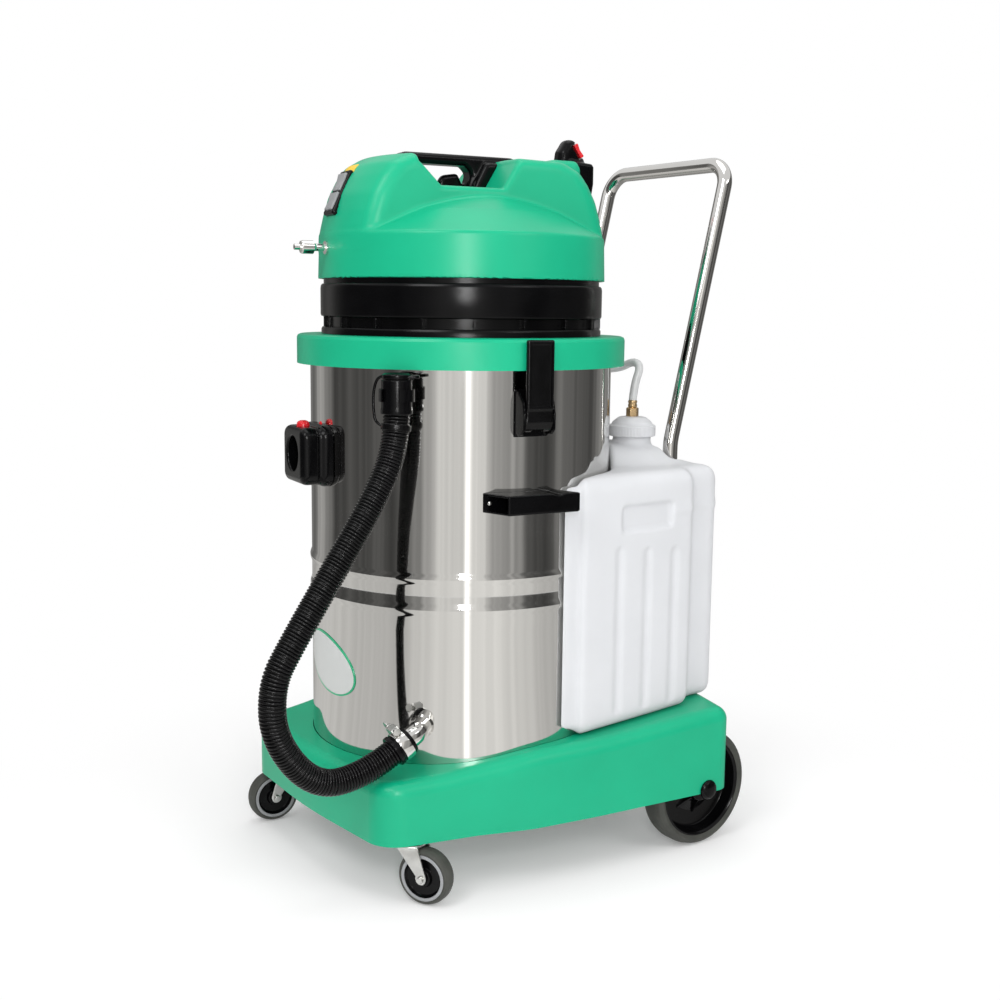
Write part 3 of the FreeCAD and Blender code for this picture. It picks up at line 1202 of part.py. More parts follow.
doc.recompute()
os.makedirs("parts", exist_ok=True)
bad = []
total = None
for name, feature in nodes.items():
    state = list(feature.State)
    shape = feature.Shape
    if "Invalid" in state or "Error" in state or shape.isNull() or not shape.isValid():
        bad.append((name, state))
        continue
    shape.exportStep(os.path.join("parts", name + ".step"))
    box = shape.BoundBox
    total = box if total is None else total.united(box)
    print("%-20s solids %d  x %.1f..%.1f  y %.1f..%.1f  z %.1f..%.1f" % (
        name, len(shape.Solids), box.XMin, box.XMax, box.YMin, box.YMax, box.ZMin, box.ZMax))
print(len(nodes), "nodes; bad:", bad)
print("overall x %.1f..%.1f y %.1f..%.1f z %.1f..%.1f" % (
    total.XMin, total.XMax, total.YMin, total.YMax, total.ZMin, total.ZMax))
if bad:
    raise RuntimeError("not valid: %s" % bad)
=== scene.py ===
import json
from math import cos, hypot, pi, radians, sin, sqrt, tan

import bmesh
import bpy
import numpy as np
from mathutils import Matrix, Vector


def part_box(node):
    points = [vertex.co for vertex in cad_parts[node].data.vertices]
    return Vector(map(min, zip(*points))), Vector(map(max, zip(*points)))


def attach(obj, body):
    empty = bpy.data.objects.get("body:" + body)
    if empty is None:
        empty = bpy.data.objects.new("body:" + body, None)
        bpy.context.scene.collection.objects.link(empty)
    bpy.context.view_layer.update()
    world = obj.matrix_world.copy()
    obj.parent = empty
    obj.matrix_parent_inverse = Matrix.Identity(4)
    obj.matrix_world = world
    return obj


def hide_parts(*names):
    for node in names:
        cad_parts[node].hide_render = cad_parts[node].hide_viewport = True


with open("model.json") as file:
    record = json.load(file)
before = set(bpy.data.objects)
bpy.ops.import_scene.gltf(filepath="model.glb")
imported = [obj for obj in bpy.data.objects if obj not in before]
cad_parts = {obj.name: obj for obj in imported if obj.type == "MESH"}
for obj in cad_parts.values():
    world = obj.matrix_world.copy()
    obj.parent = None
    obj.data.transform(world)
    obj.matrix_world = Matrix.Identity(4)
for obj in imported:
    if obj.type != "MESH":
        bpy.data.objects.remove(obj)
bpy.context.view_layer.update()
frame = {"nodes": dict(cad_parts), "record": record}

MM = 0.001
AXIS_Y = sum(v[1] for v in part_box("recovery_drum")) / 2   # the drum's axis stands here
SCENE = bpy.context.scene


# ---- pieces from points

def local_matrix(turn_deg=0.0, x=0.0, y=0.0, z=0.0):
    """Local mm axes to row metres: offset from the drum's axis, then a turn about +Z."""
    return (Matrix.Translation((x * MM, AXIS_Y + y * MM, z * MM))
            @ Matrix.Rotation(radians(turn_deg), 4, "Z") @ Matrix.Scale(MM, 4))


def aimed(point, way, axis="Z"):
    """Frame at a point whose axis looks along a way."""
    return Matrix.Translation(point) @ way.to_track_quat(axis, "Y").to_matrix().to_4x4()


HEAD_FRAME = local_matrix(-9)     # the drum and the head are turned on the cart
CART_FRAME = local_matrix(0)


def add_object(name, data):
    obj = bpy.data.objects.new(name, data)
    SCENE.collection.objects.link(obj)
    return obj


def dress(obj, look, body, replaces=""):
    """Give a piece its material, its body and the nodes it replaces."""
    obj.data.materials.append(look[0])
    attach(obj, body)
    if replaces:
        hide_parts(*replaces.split())


def new_mesh(name, verts, faces, matrix, look, body, replaces="", angle=35, weld=True):
    """Piece from points and faces, smooth except along edges sharper than the angle."""
    mesh = bpy.data.meshes.new(name)
    mesh.from_pydata(verts, [], faces)
    if not weld:
        mesh.validate()
    mesh.transform(matrix)
    obj = add_object(name, mesh)
    bm = bmesh.new()
    bm.from_mesh(mesh)
    if weld:
        bmesh.ops.remove_doubles(bm, verts=bm.verts, dist=1e-6)
    bmesh.ops.recalc_face_normals(bm, faces=bm.faces)
    bm.normal_update()
    for face in bm.faces:
        face.smooth = True
    for edge in bm.edges:
        edge.smooth = len(edge.link_faces) != 2 or edge.calc_face_angle(0) < radians(angle)
    bm.to_mesh(mesh)
    bm.free()
    dress(obj, look, body, replaces)
    return obj


def corner_arc(before, corner, after, radius, steps):
    """Points of the arc that rounds a corner between two lines."""
    u, w = (before - corner).normalized(), (after - corner).normalized()
    half = u.angle(w) / 2
    reach = radius / tan(half)
    centre = corner + (u + w).normalized() * (radius / sin(half))
    start, end = corner + u * reach - centre, corner + w * reach - centre
    return [centre + (start * (1 - i / steps) + end * (i / steps)).normalized() * radius
            for i in range(steps + 1)]


def rounded_profile(points, steps):
    """Polygon of (a, b, corner radius) points with its corners rounded."""
    out = []
    for i, (a, b, *radius) in enumerate(points):
        if radius:
            before, after = Vector(points[i - 1][:2]), Vector(points[(i + 1) % len(points)][:2])
            out += [tuple(p) for p in corner_arc(before, Vector((a, b)), after, *radius, steps)]
        else:
            out.append((a, b))
    return out


def lathe(name, profile, look, body, matrix=CART_FRAME, axis="Z", segments=96, replaces="",
          angle=30, wobble=lambda r, h, a: r, steps=4):
    """Surface of revolution of (radius, height, corner radius) points. A profile that starts on
    the axis is left open, and wobble(r, h, a) may reshape a radius."""
    profile = rounded_profile(profile, steps)
    n = len(profile)
    verts = []
    for k in range(segments):
        a = 2 * pi * k / segments
        for r, h in profile:
            x, y = wobble(r, h, a) * cos(a), wobble(r, h, a) * sin(a)
            verts.append({"Z": (x, y, h), "X": (h, x, y), "Y": (x, h, y)}[axis])
    faces = []
    for k in range(segments):
        this, after = k * n, (k + 1) % segments * n
        for i in range(n if profile[0][0] else n - 1):
            j = (i + 1) % n
            faces.append((this + i, after + i, after + j, this + j))
    return new_mesh(name, verts, faces, matrix, look, body, replaces, angle)


def extrude(name, outline, low, high, plane, matrix, look, body, bevel, replaces=""):
    """Prism with soft edges. The outline lies in plane and low..high is on the third axis."""
    outline = rounded_profile(outline, 4)
    i, j, k = {"XY": (0, 1, 2), "YZ": (2, 0, 1), "XZ": (0, 2, 1), "ZX": (1, 2, 0)}[plane]
    n = len(outline)
    points = [(a, b, level) for level in (low, high) for a, b in outline]
    verts = [(p[i], p[j], p[k]) for p in points]
    faces = [tuple(range(n))[::-1], tuple(range(n, 2 * n))]
    faces += [(i, (i + 1) % n, n + (i + 1) % n, n + i) for i in range(n)]
    obj = new_mesh(name, verts, faces, matrix, look, body, replaces)
    mod = obj.modifiers.new("soft edges", "BEVEL")
    mod.width = bevel * MM
    mod.segments = 3
    mod.limit_method = "ANGLE"
    mod.angle_limit = radians(30)
    mod.harden_normals = True


def thin_sheet(name, top, under, faces, border, matrix, look, body, replaces="", angle=35):
    """Closed sheet from its top and under points, the top's faces and its border's points."""
    count = len(top)
    below = [(face[0] + count, *(v + count for v in face[:0:-1])) for face in faces]
    edge = [(a, a + count, b + count, b) for a, b in zip(border, [*border[1:], border[0]])]
    new_mesh(name, [*top, *under], faces + below + edge, matrix, look, body, replaces, angle)


# ---- pieces from distance fields

def sd_box(p, centre, half, radius=0.0):
    """Rounded box, or rectangle where the points have two coordinates."""
    q = np.abs(p - np.array(centre)) - (np.array(half) - radius)
    return (np.linalg.norm(np.maximum(q, 0), axis=1) + np.minimum(q.max(axis=1), 0)) - radius


def sd_cylinder(p, centre, radius, half, rounding):
    """Upright cylinder with rounded rims."""
    x, y, z = (p - np.array(centre)).T
    return sd_box(np.stack([np.hypot(x, y), z], axis=1), (0, 0), (radius, half), rounding)


def sd_polygon(a, b, points):
    """Signed distance in the plane to a closed polygon."""
    best = np.full(a.shape, 1e18)
    inside = np.zeros(a.shape, bool)
    for (x0, y0), (x1, y1) in zip(points, [*points[1:], points[0]]):
        ex, ey = x1 - x0, y1 - y0
        wx, wy = a - x0, b - y0
        t = np.clip((wx * ex + wy * ey) / max(ex * ex + ey * ey, 1e-12), 0, 1)
        best = np.minimum(best, (wx - ex * t) ** 2 + (wy - ey * t) ** 2)
        if abs(ey) > 1e-12:
            inside ^= ((y0 <= b) != (y1 <= b)) & (a < x0 + (b - y0) * ex / ey)
    return np.where(inside, -1, 1) * np.sqrt(best)


def outline_field(points, steps=4, margin=40.0):
    """Signed distance to a rounded outline, read from a 1 mm table by interpolation."""
    points = rounded_profile(points, steps)
    low = np.min(points, axis=0) - margin
    count = np.ceil(np.max(points, axis=0) + margin - low).astype(int) + 1
    grid = np.meshgrid(low[0] + np.arange(count[0]), low[1] + np.arange(count[1]), indexing="ij")
    table = sd_polygon(grid[0].ravel(), grid[1].ravel(), points).reshape(count)

    def at(a, b):
        u, v = np.clip(a - low[0], 0, count[0] - 1.001), np.clip(b - low[1], 0, count[1] - 1.001)
        i, j = u.astype(int), v.astype(int)
        fu, fv = u - i, v - j
        return (table[i, j] * (1 - fu) * (1 - fv) + table[i + 1, j] * fu * (1 - fv)
                + table[i, j + 1] * (1 - fu) * fv + table[i + 1, j + 1] * fu * fv)
    return at


def smin(a, b, k):
    """Union of two fields with a soft joint k wide, and smax their overlap."""
    h = np.maximum(k - np.abs(a - b), 0) / k
    return np.minimum(a, b) - h * h * k * 0.25


def smax(a, b, k):
    return -smin(-a, -b, k)


def gradient(field, p, eps):
    return np.stack([field(p + eps * e) - field(p - eps * e) for e in np.eye(3)],
                    axis=1) / (2 * eps)


FIELD_CHUNK = 400000


def field_mesh(name, field, low, high, step, matrix, look, body, replaces="", relax=3):
    """Closed mesh of the region where a distance field is negative, in mm."""
    low = np.array(low, float)
    size = np.ceil((np.array(high, float) - low) / step).astype(int) + 1
    grid = np.meshgrid(*[low[i] + step * np.arange(size[i]) for i in range(3)], indexing="ij")
    pts = np.stack([g.ravel() for g in grid], axis=1)
    v = np.concatenate([field(pts[s:s + FIELD_CHUNK])
                        for s in range(0, len(pts), FIELD_CHUNK)]).reshape(size)
    corner = np.argwhere(np.ones((2, 2, 2)))
    n = size - 1
    views = [v[i:i + n[0], j:j + n[1], k:k + n[2]] for i, j, k in corner]
    count = sum((w < 0).astype(int) for w in views)
    active = (count > 0) & (count < 8)
    cells = np.argwhere(active)
    index = -np.ones(n, int)
    index[active] = np.arange(len(cells))
    total, hits = np.zeros((len(cells), 3)), np.zeros(len(cells))
    flat = [w[active] for w in views]
    for a in range(8):
        for b in range(a + 1, 8):
            if (corner[a] != corner[b]).sum() != 1:
                continue
            va, vb = flat[a], flat[b]
            cross = (va < 0) != (vb < 0)
            t = np.where(cross, va / np.where(va == vb, 1, va - vb), 0)
            total += np.where(cross[:, None],
                              corner[a] + (corner[b] - corner[a]) * t[:, None], 0)
            hits += cross
    verts = low + step * (cells + total / hits[:, None])
    solid = v < 0
    faces = []
    for axis in range(3):
        lower, upper = [slice(1, -1)] * 3, [slice(1, -1)] * 3
        lower[axis], upper[axis] = slice(0, -1), slice(1, None)
        below = solid[tuple(lower)]
        base = np.argwhere(below != solid[tuple(upper)])
        flip = below[tuple(base.T)] ^ (axis == 1)
        e, f = np.delete(np.eye(3, dtype=int), axis, axis=0)
        quad = np.stack([index[tuple((base + shift).T)] for shift in (0 * e, e, e + f, f)],
                        axis=1)
        quad[~flip] = quad[~flip][:, ::-1]
        faces.append(quad)
    for _ in range(relax):
        g = gradient(field, verts, step * 0.3)
        move = -(field(verts) / np.maximum((g * g).sum(axis=1), 0.05))[:, None] * g
        reach = np.maximum(np.linalg.norm(move, axis=1), 1e-9)
        verts = verts + move * np.minimum(1, 0.5 * step / reach)[:, None]
    new_mesh(name, verts.tolist(), np.concatenate(faces).tolist(), matrix, look, body, replaces,
             angle=40, weld=False)


# ---- materials

SLOT_LOOK = {}                    # the material of the CAD nodes in each slot
COAT_ROUGHNESS = 0.1
BUMP_DISTANCE = 0.0006
PLASTIC_IOR = 1.5
MIX_A, MIX_B, MIX_RESULT = 6, 7, 2     # colour sockets of a Mix node


def feed(tree, made, inputs):
    for key, value in inputs.items():
        if isinstance(value, bpy.types.NodeSocket):
            tree.links.new(value, made.inputs[key])
        else:
            made.inputs[key].default_value = value


def node(tree, kind, inputs={}, out=0, **settings):
    """One output of a new shader node whose inputs are set or linked."""
    made = tree.nodes.new("ShaderNode" + kind)
    for key, value in settings.items():
        setattr(made, key, value)
    feed(tree, made, inputs)
    return made.outputs[out]


def node_material(name):
    mat = bpy.data.materials.new(name)
    mat.use_nodes = True
    return mat, mat.node_tree


def material(name, slot, color, roughness, metallic=0.0, specular=0.5, coat=0.0,
             mottle=(0.0, 30), bump=(0.0, 300), uneven=0.0, brushed=(1, 1, 1), bounce=None,
             subsurface=0.0):
    """Procedural surface and its slot. mottle and bump are (amount, noise scale), uneven varies
    the roughness and bounce is the colour that diffuse rays see."""
    mat, tree = node_material(name)
    shader = tree.nodes["Principled BSDF"]
    feed(tree, shader, {"Metallic": metallic, "Roughness": roughness, "IOR": PLASTIC_IOR,
                        "Specular IOR Level": specular, "Coat Weight": coat,
                        "Coat Roughness": COAT_ROUGHNESS, "Subsurface Weight": subsurface,
                        "Subsurface Radius": (1, 1, 1), "Subsurface Scale": 0.01})
    place = node(tree, "Mapping", {"Vector": node(tree, "TexCoord", out="Object"),
                                   "Scale": brushed})
    noise = node(tree, "TexNoise", {"Vector": place, "Scale": mottle[1], "Detail": 5})
    tint = node(tree, "ValToRGB", {"Fac": noise})
    for stop, position, change in zip(tint.node.color_ramp.elements, (0.3, 0.7),
                                      (-mottle[0], mottle[0])):
        stop.position = position
        stop.color = [min(max(c * (1 + change), 0), 1) for c in color] + [1]
    if bounce:
        diffuse = node(tree, "LightPath", out="Is Diffuse Ray")
        tint = node(tree, "Mix", {"Factor": diffuse, MIX_A: tint, MIX_B: (*bounce, 1)},
                    MIX_RESULT, data_type="RGBA")
    feed(tree, shader, {"Base Color": tint})
    if uneven:
        feed(tree, shader, {"Roughness": node(tree, "MapRange", {
            "Value": noise, "To Min": max(roughness - uneven, 0.02),
            "To Max": roughness + uneven})})
    fine = node(tree, "TexNoise", {"Vector": place, "Scale": bump[1], "Detail": 3})
    feed(tree, shader, {"Normal": node(tree, "Bump", {
        "Strength": bump[0], "Distance": BUMP_DISTANCE, "Height": fine})})
    SLOT_LOOK.setdefault(slot, mat)
    return mat, slot


GREEN = material("green plastic", "green_plastic", (0.003, 0.43, 0.225), 0.34, specular=0.34,
                 mottle=(0.05, 9), bump=(0.10, 900), uneven=0.05, bounce=(0.2, 0.3, 0.25))
BLACK = material("black plastic", "black_plastic", (0.0022, 0.0022, 0.0026), 0.17,
                 specular=0.17, mottle=(0.25, 25), bump=(0.12, 1200), uneven=0.05)
RUBBER = material("black rubber", "black_rubber", (0.0022, 0.0022, 0.0025), 0.19, specular=0.24,
                  mottle=(0.3, 40), bump=(0.25, 1500), uneven=0.08)
STEEL = material("polished steel", "polished_steel", (0.66, 0.655, 0.64), 0.06, metallic=1.0,
                 mottle=(0.05, 6), bump=(0.04, 60), uneven=0.03, brushed=(1, 1, 0.06))
CHROME = material("chrome", "chrome", (0.70, 0.69, 0.67), 0.07, metallic=1.0,
                  mottle=(0.03, 20), bump=(0.03, 120), uneven=0.02)
ZINC = material("zinc plated steel", "zinc_steel", (0.62, 0.62, 0.60), 0.32, metallic=1.0,
                mottle=(0.12, 60), bump=(0.15, 500), uneven=0.08)
WHITE = material("white polyethylene", "white_plastic", (0.68, 0.69, 0.71), 0.42, specular=0.35,
                 mottle=(0.025, 10), bump=(0.12, 180), uneven=0.05, subsurface=0.15)
CLEAR = material("milky hose", "clear_plastic", (0.62, 0.63, 0.63), 0.25, mottle=(0.06, 60),
                 bump=(0.1, 300), subsurface=0.25)
BRASS = material("brass", "brass", (0.62, 0.44, 0.24), 0.28, metallic=1.0, mottle=(0.1, 80),
                 bump=(0.1, 500), uneven=0.06)
RED = material("red plastic", "red_plastic", (0.72, 0.012, 0.02), 0.25, mottle=(0.08, 60),
               bump=(0.08, 700))
GREY = material("grey plastic", "grey_plastic", (0.33, 0.34, 0.35), 0.35, mottle=(0.1, 50),
                bump=(0.12, 800))
TYRE = material("grey rubber", "tyre_rubber", (0.062, 0.064, 0.056), 0.6, specular=0.3,
                mottle=(0.2, 45), bump=(0.25, 800), uneven=0.08)
BADGE = material("badge enamel", "badge_paint", (0.62, 0.64, 0.63), 0.25, coat=0.4,
                 mottle=(0.02, 20), bump=(0.03, 300))
BADGE_EDGE = material("badge border", "badge_paint", (0.02, 0.42, 0.20), 0.3,
                      mottle=(0.06, 30), bump=(0.03, 300))
YELLOW = material("yellow plate", "badge_paint", (0.95, 0.62, 0.01), 0.35, mottle=(0.05, 40),
                  bump=(0.05, 300))
material("cast aluminium", "motor_metal", (0.5, 0.5, 0.52), 0.45, metallic=1.0,
         mottle=(0.1, 30), bump=(0.3, 300))
CLIP = RUBBER[0], "black_plastic"
CLAMP = CHROME[0], "zinc_steel"

for entry in frame["record"]["subparts"]:
    part = frame["nodes"][entry["node"]]
    part.data.materials.clear()
    part.data.materials.append(SLOT_LOOK[entry["material_slot"]])
    part.data.polygons.foreach_set("use_smooth", [True] * len(part.data.polygons))
    part.modifiers.new("weighted", "WEIGHTED_NORMAL").keep_sharp = True

# ---- hose cuff, hoses and lanyard

CUFF = local_matrix(36.5) @ Matrix.Translation((0, -244, 0))
cuff_piece = lathe("hose_cuff_sleeve", [
    (14, 640), (20.6, 640, 1.2), (20.6, 645, 1.5), (19.6, 649, 2), (19.6, 683, 1.2),
    (17.4, 684, 1), (17.4, 660), (14, 660)], BLACK, "cart", CUFF, replaces="hose_cuff")
cap_piece = lathe("hose_cap_plug", [
    (0, 672), (16.6, 672, 1), (16.9, 684.4), (19.2, 685, 0.8), (19.2, 690, 1.6), (15, 692, 2),
    (0, 690.6)], BLACK, "cart", CUFF, replaces="hose_cap", angle=40)
extrude("hose_cap_tab", [(10, -12), (26, -11, 3), (29, -6, 3), (29, 6, 3), (26, 11, 3),
                         (10, 12)], 685.4, 689.4, "XY",
        CUFF @ Matrix.Rotation(radians(19.5), 4, "Z"), BLACK, "cart", bevel=1.0)

HOSE_RADIUS, FEED_RADIUS, LANYARD_RADIUS = 17.5, 6.0, 1.9
RIB_PITCH, RIB_DEPTH, HOSE_STEP = 0.0044, 1.7, 0.0005
HOSE_ROUTE = [(165.2, -214.3, 201.9), (162.4, -254.1, 178.8), (161, -325, 175),
              (160, -381, 245), (158.5, -383, 317), (156, -351, 366), (153, -290, 452),
              (150, -235, 528), (146.3, -198.7, 592), (145.1, -196.1, 640)]
FEED_ROUTE = [(100, 241, 641), (101, 243, 665), (105, 251, 691), (79, 259, 698),
              (49.8, 256.2, 685), (44.3, 227.7, 685)]
LANYARD_ROUTE = [(131.836, -205.044, 688), (123.546, -210.634, 688), (117.743, -214.547, 670),
                 (118.5575, -215.1675, 645.7), (121.0445, -213.4905, 626.7),
                 (130.1635, -207.3415, 623.7)]
BAND_LEVEL = 0.6237


def route_spline(name, route, bevel=0.0):
    """Smooth NURBS line with the route as its control points."""
    curve = bpy.data.curves.new(name, "CURVE")
    curve.dimensions = "3D"
    curve.resolution_u = 24
    spline = curve.splines.new("NURBS")
    spline.points.add(len(route) - 1)
    for point, (x, y, z) in zip(spline.points, route):
        point.co = (x * MM, AXIS_Y + y * MM, z * MM, 1)
    spline.order_u = 3
    spline.use_endpoint_u = True
    curve.bevel_depth = bevel
    curve.bevel_resolution = 8
    return add_object(name, curve)


def spline_points(route):
    obj = route_spline("measuring line", route)
    bpy.context.view_layer.update()
    mesh = bpy.data.meshes.new_from_object(
        obj.evaluated_get(bpy.context.evaluated_depsgraph_get()))
    pts = [v.co.copy() for v in mesh.vertices]
    curve = obj.data
    bpy.data.objects.remove(obj)
    bpy.data.curves.remove(curve)
    return pts


def thin_cord(name, route, radius, look, replaces):
    obj = route_spline(name, route, bevel=radius * MM)
    obj.data.use_fill_caps = True
    dress(obj, look, "cart", replaces)
    return obj, spline_points(route)


def line_length(pts):
    return sum((b - a).length for a, b in zip(pts, pts[1:]))


def resample(pts, count):
    """Points at equal spacing along a line, with their tangents."""
    flat = np.array(pts)
    marks = np.append(0, np.cumsum(np.linalg.norm(np.diff(flat, axis=0), axis=1)))
    spots = np.linspace(0, marks[-1], count)
    out = [Vector(p) for p in zip(*(np.interp(spots, marks, line) for line in flat.T))]
    return out, [(b - a).normalized() for a, b in zip([out[0], *out], [*out[1:], out[-1]])]


def ribbed_tube(name, pts, radius_at, samples, sides, look, replaces):
    """Tube on the cart along a line whose radius follows radius_at(distance)."""
    line, tangents = resample(pts, samples)
    length = line_length(pts)
    up = Vector((0, 0, 1)) if abs(tangents[0].z) < 0.9 else Vector((1, 0, 0))
    normal = (up - tangents[0] * up.dot(tangents[0])).normalized()
    verts = []
    for i, (p, t) in enumerate(zip(line, tangents)):
        normal = (normal - t * normal.dot(t)).normalized()
        side = t.cross(normal)
        r = radius_at(length * i / (samples - 1))
        for k in range(sides):
            a = 2 * pi * k / sides
            verts.append(p + (normal * cos(a) + side * sin(a)) * r)
    faces = [(i + k, i + k2, i + sides + k2, i + sides + k)
             for i in range(0, (samples - 1) * sides, sides)
             for k, k2 in zip(range(sides), [*range(1, sides), 0])]
    faces += [tuple(range(sides))[::-1], tuple(range((samples - 1) * sides, samples * sides))]
    return new_mesh(name, verts, faces, Matrix(), look, "cart", replaces, angle=60)


def corrugation(s):
    """Rounded rings: wide crests and narrow valleys."""
    phase = (s / RIB_PITCH) % 1.0
    crest = max(0.0, sin(pi * min(max((phase - 0.08) / 0.84, 0), 1))) ** 0.45
    return (HOSE_RADIUS - RIB_DEPTH + RIB_DEPTH * crest) * MM


hose_line = spline_points(HOSE_ROUTE)
drain_hose = ribbed_tube("drain_hose_corrugated", hose_line, corrugation,
                         int(line_length(hose_line) / HOSE_STEP), 32, RUBBER, "drain_hose")

feed_hose, feed_line = thin_cord("feed_hose_clear", FEED_ROUTE, FEED_RADIUS, CLEAR, "feed_hose")

lanyard, lanyard_line = thin_cord("cap_lanyard_cord", LANYARD_ROUTE, LANYARD_RADIUS, RUBBER,
                                  "cap_lanyard")
band_at = min(range(len(hose_line) // 2, len(hose_line) - 1),
              key=lambda i: abs(hose_line[i].z - BAND_LEVEL))
band_way = hose_line[band_at + 1] - hose_line[band_at - 1]
lanyard_band = lathe("lanyard_band", [(17.2, -4), (19.5, -4, 0.8), (19.5, 4, 0.8), (17.2, 4)],
                     RUBBER, "cart", aimed(hose_line[band_at], band_way) @ Matrix.Scale(MM, 4),
                     segments=48, angle=35)

# ---- moulded pieces

HEAD_HALF = 95.0
NECK_TOP = 812.8
COVER_WALL = 9.0
dome_at = outline_field(
    [(-60, 780), (203, 780), (203, 813), (201.2, 872, 5), (142, 904, 30), (95, 924, 20),
     (-60, 932)], 6)
crown_at = outline_field(
    [(-60, 850), (200, 850), (200, 878, 30), (195, 900, 60), (188, 924, 60), (177, 946, 40),
     (165, 963, 25), (142, 976, 30), (60, 979), (-60, 979)], 6)
notch_at = outline_field([(-108, 1040), (-104, 966), (-73, 936), (19, 936), (40, 971),
                          (46, 1040)])
hump_at = outline_field([(98, 950), (124, 985, 8), (164, 985, 8), (171, 974, 6), (171, 940)])
KEY_TOP = np.array([-170.0, 955.0])        # upper end of the switches' slope
KEY_DOWN = np.array([-197.0, 896.0]) - KEY_TOP
KEY_LONG = np.linalg.norm(KEY_DOWN)
KEY_DOWN /= KEY_LONG
KEY_OUT = np.array([KEY_DOWN[1], -KEY_DOWN[0]])
KEY_HALF = 12.5
KEY_SHIFT = 14.1                           # each key's middle from the slope's middle


def on_slope(y, z, start, down, out):
    """Distances down a slope from its start, and out of it."""
    y, z = y - start[0], z - start[1]
    return y * down[0] + z * down[1], y * out[0] + z * out[1]


def cover_outer(p):
    x, y, z = p.T
    r = np.hypot(x, y)
    crown = smax(crown_at(r, z), np.abs(x) - HEAD_HALF, 16)
    hump = smax(hump_at(y, z), np.abs(x) - 42, 12)
    return smax(smin(smin(dome_at(r, z), crown, 5), hump, 10), -notch_at(y, z), 9)


def cover_field(p):
    x, y, z = p.T
    d = cover_outer(p)
    along, out = on_slope(y, z, KEY_TOP, KEY_DOWN, KEY_OUT)
    pocket = np.maximum.reduce([np.abs(x) - 17.5, np.abs(along - KEY_LONG / 2) - 30.5, -out - 14])
    shell = smax(np.maximum(d, -(d + COVER_WALL)), -pocket, 1.0)
    return np.maximum(shell, NECK_TOP - z)


field_mesh("head_cover_shell", cover_field, (-212, -212, 806), (212, 212, 992), 2.9, HEAD_FRAME,
           GREEN, "head", "head_cover", relax=4)

grip_at = outline_field(
    [(-92, 942), (-116, 952, 12), (-106, 977, 16), (-94, 986, 14), (70, 986, 14), (104, 977, 6),
     (104, 966), (60, 962), (46, 925), (-4, 925, 3), (8, 962, 10), (-2, 971, 5), (-78, 971, 8),
     (-86, 962, 6), (-90, 944)], 5)
cheek_at = outline_field([(-36, 930), (-34, 958, 12), (-6, 962, 6), (10, 930)], 5)
web_at = outline_field([(18, 939, 3), (42, 944, 3), (34, 962, 4), (22, 962, 4)])
root_at = outline_field([(2, 930), (10, 950, 6), (24, 976, 8), (52, 976), (52, 930)])


def grip_field(p):
    x, y, z = p.T
    bar = smax(grip_at(y, z), np.abs(x) - 17, 9)
    cheek = smax(cheek_at(y, z), np.abs(x + 8) - 7, 7)
    web = np.maximum(web_at(y, z), 11 - np.abs(x))
    root = smax(root_at(y, z), np.abs(x) - 29, 8)
    d = smin(smax(smin(bar, cheek, 4), -web, 2.5), root, 3)
    return smax(d, -(cover_outer(p) + 1.2), 0.6)


field_mesh("carry_handle_bar", grip_field, (-33, -124, 920), (33, 112, 992), 1.9, HEAD_FRAME,
           BLACK, "head", "carry_handle")

pod_at = outline_field([(164, 925), (164, 987, 3), (198, 984, 4), (201, 979, 2), (201, 955, 4),
                        (196, 925)])
pod_hump_at = outline_field([(148, 975), (152, 1001, 8), (163, 1018, 9), (176, 1018, 9),
                             (193, 990, 6), (194, 975)], 5)
POD_MID = np.array([182.5, 1003.0])
POD_DOWN = np.array([19.0, -28.0]) / hypot(19, 28)
POD_OUT = np.array([28.0, 19.0]) / hypot(19, 28)


def pod_field(p):
    x, y, z = p.T
    block = smax(pod_at(y, z), np.abs(x) - 26, 7)
    hump = smax(pod_hump_at(y, z), np.abs(x) - 15, 13)
    along, out = on_slope(y, z, POD_MID, POD_DOWN, POD_OUT)
    pocket = np.maximum(np.abs(along) - 12.2, -out - 8.5)
    return smax(smax(smin(block, hump, 5), -pocket, 1.0), -(cover_outer(p) + 0.8), 0.6)


field_mesh("rear_pod_case", pod_field, (-30, 140, 920), (30, 206, 1024), 1.7, HEAD_FRAME,
           BLACK, "head", "rear_pod")


def rocker(switch, centre, down, out, half_x, half_long, look):
    """Rocker key: two soft faces that meet in a shallow valley."""
    outline = [centre + down * a + out * b for a, b in rounded_profile(
        [(-half_long, -4), (-half_long, 3.2, 1.4), (0, 1.0, 6), (half_long, 2.2, 1.4),
         (half_long, -4)], 4)]
    extrude(switch + "_key", outline, -half_x, half_x, "YZ", HEAD_FRAME, look, switch,
            bevel=1.0, replaces=switch)


rocker("pump_switch", POD_MID, POD_DOWN, POD_OUT, 12.4, 10.6, RED)
for switch, side in (("upper_switch", -1), ("lower_switch", 1)):
    centre = KEY_TOP + KEY_DOWN * (KEY_LONG / 2 + side * KEY_SHIFT) + KEY_OUT * 5
    rocker(switch, centre, KEY_DOWN, KEY_OUT, 14, KEY_HALF, GREY)


def bezel_field(p):
    along, out = on_slope(p[:, 1], p[:, 2], KEY_TOP, KEY_DOWN, KEY_OUT)
    q = np.stack([p[:, 0], along - KEY_LONG / 2, out], axis=1)
    d = sd_box(q, (0, 0, -2), (19, 32.5, 7), 3.2)
    for side in (-1, 1):
        hole = sd_box(q, (0, side * KEY_SHIFT, 0), (14.4, 13.0, 30), 0.8)
        d = smax(d, -hole, 0.6)
    return smax(d, -(cover_outer(p) + 3.0), 0.4)


field_mesh("switch_bezel_frame", bezel_field, (-23, -215, 885), (23, -150, 975), 1.4,
           HEAD_FRAME, BLACK, "head", "switch_bezel")

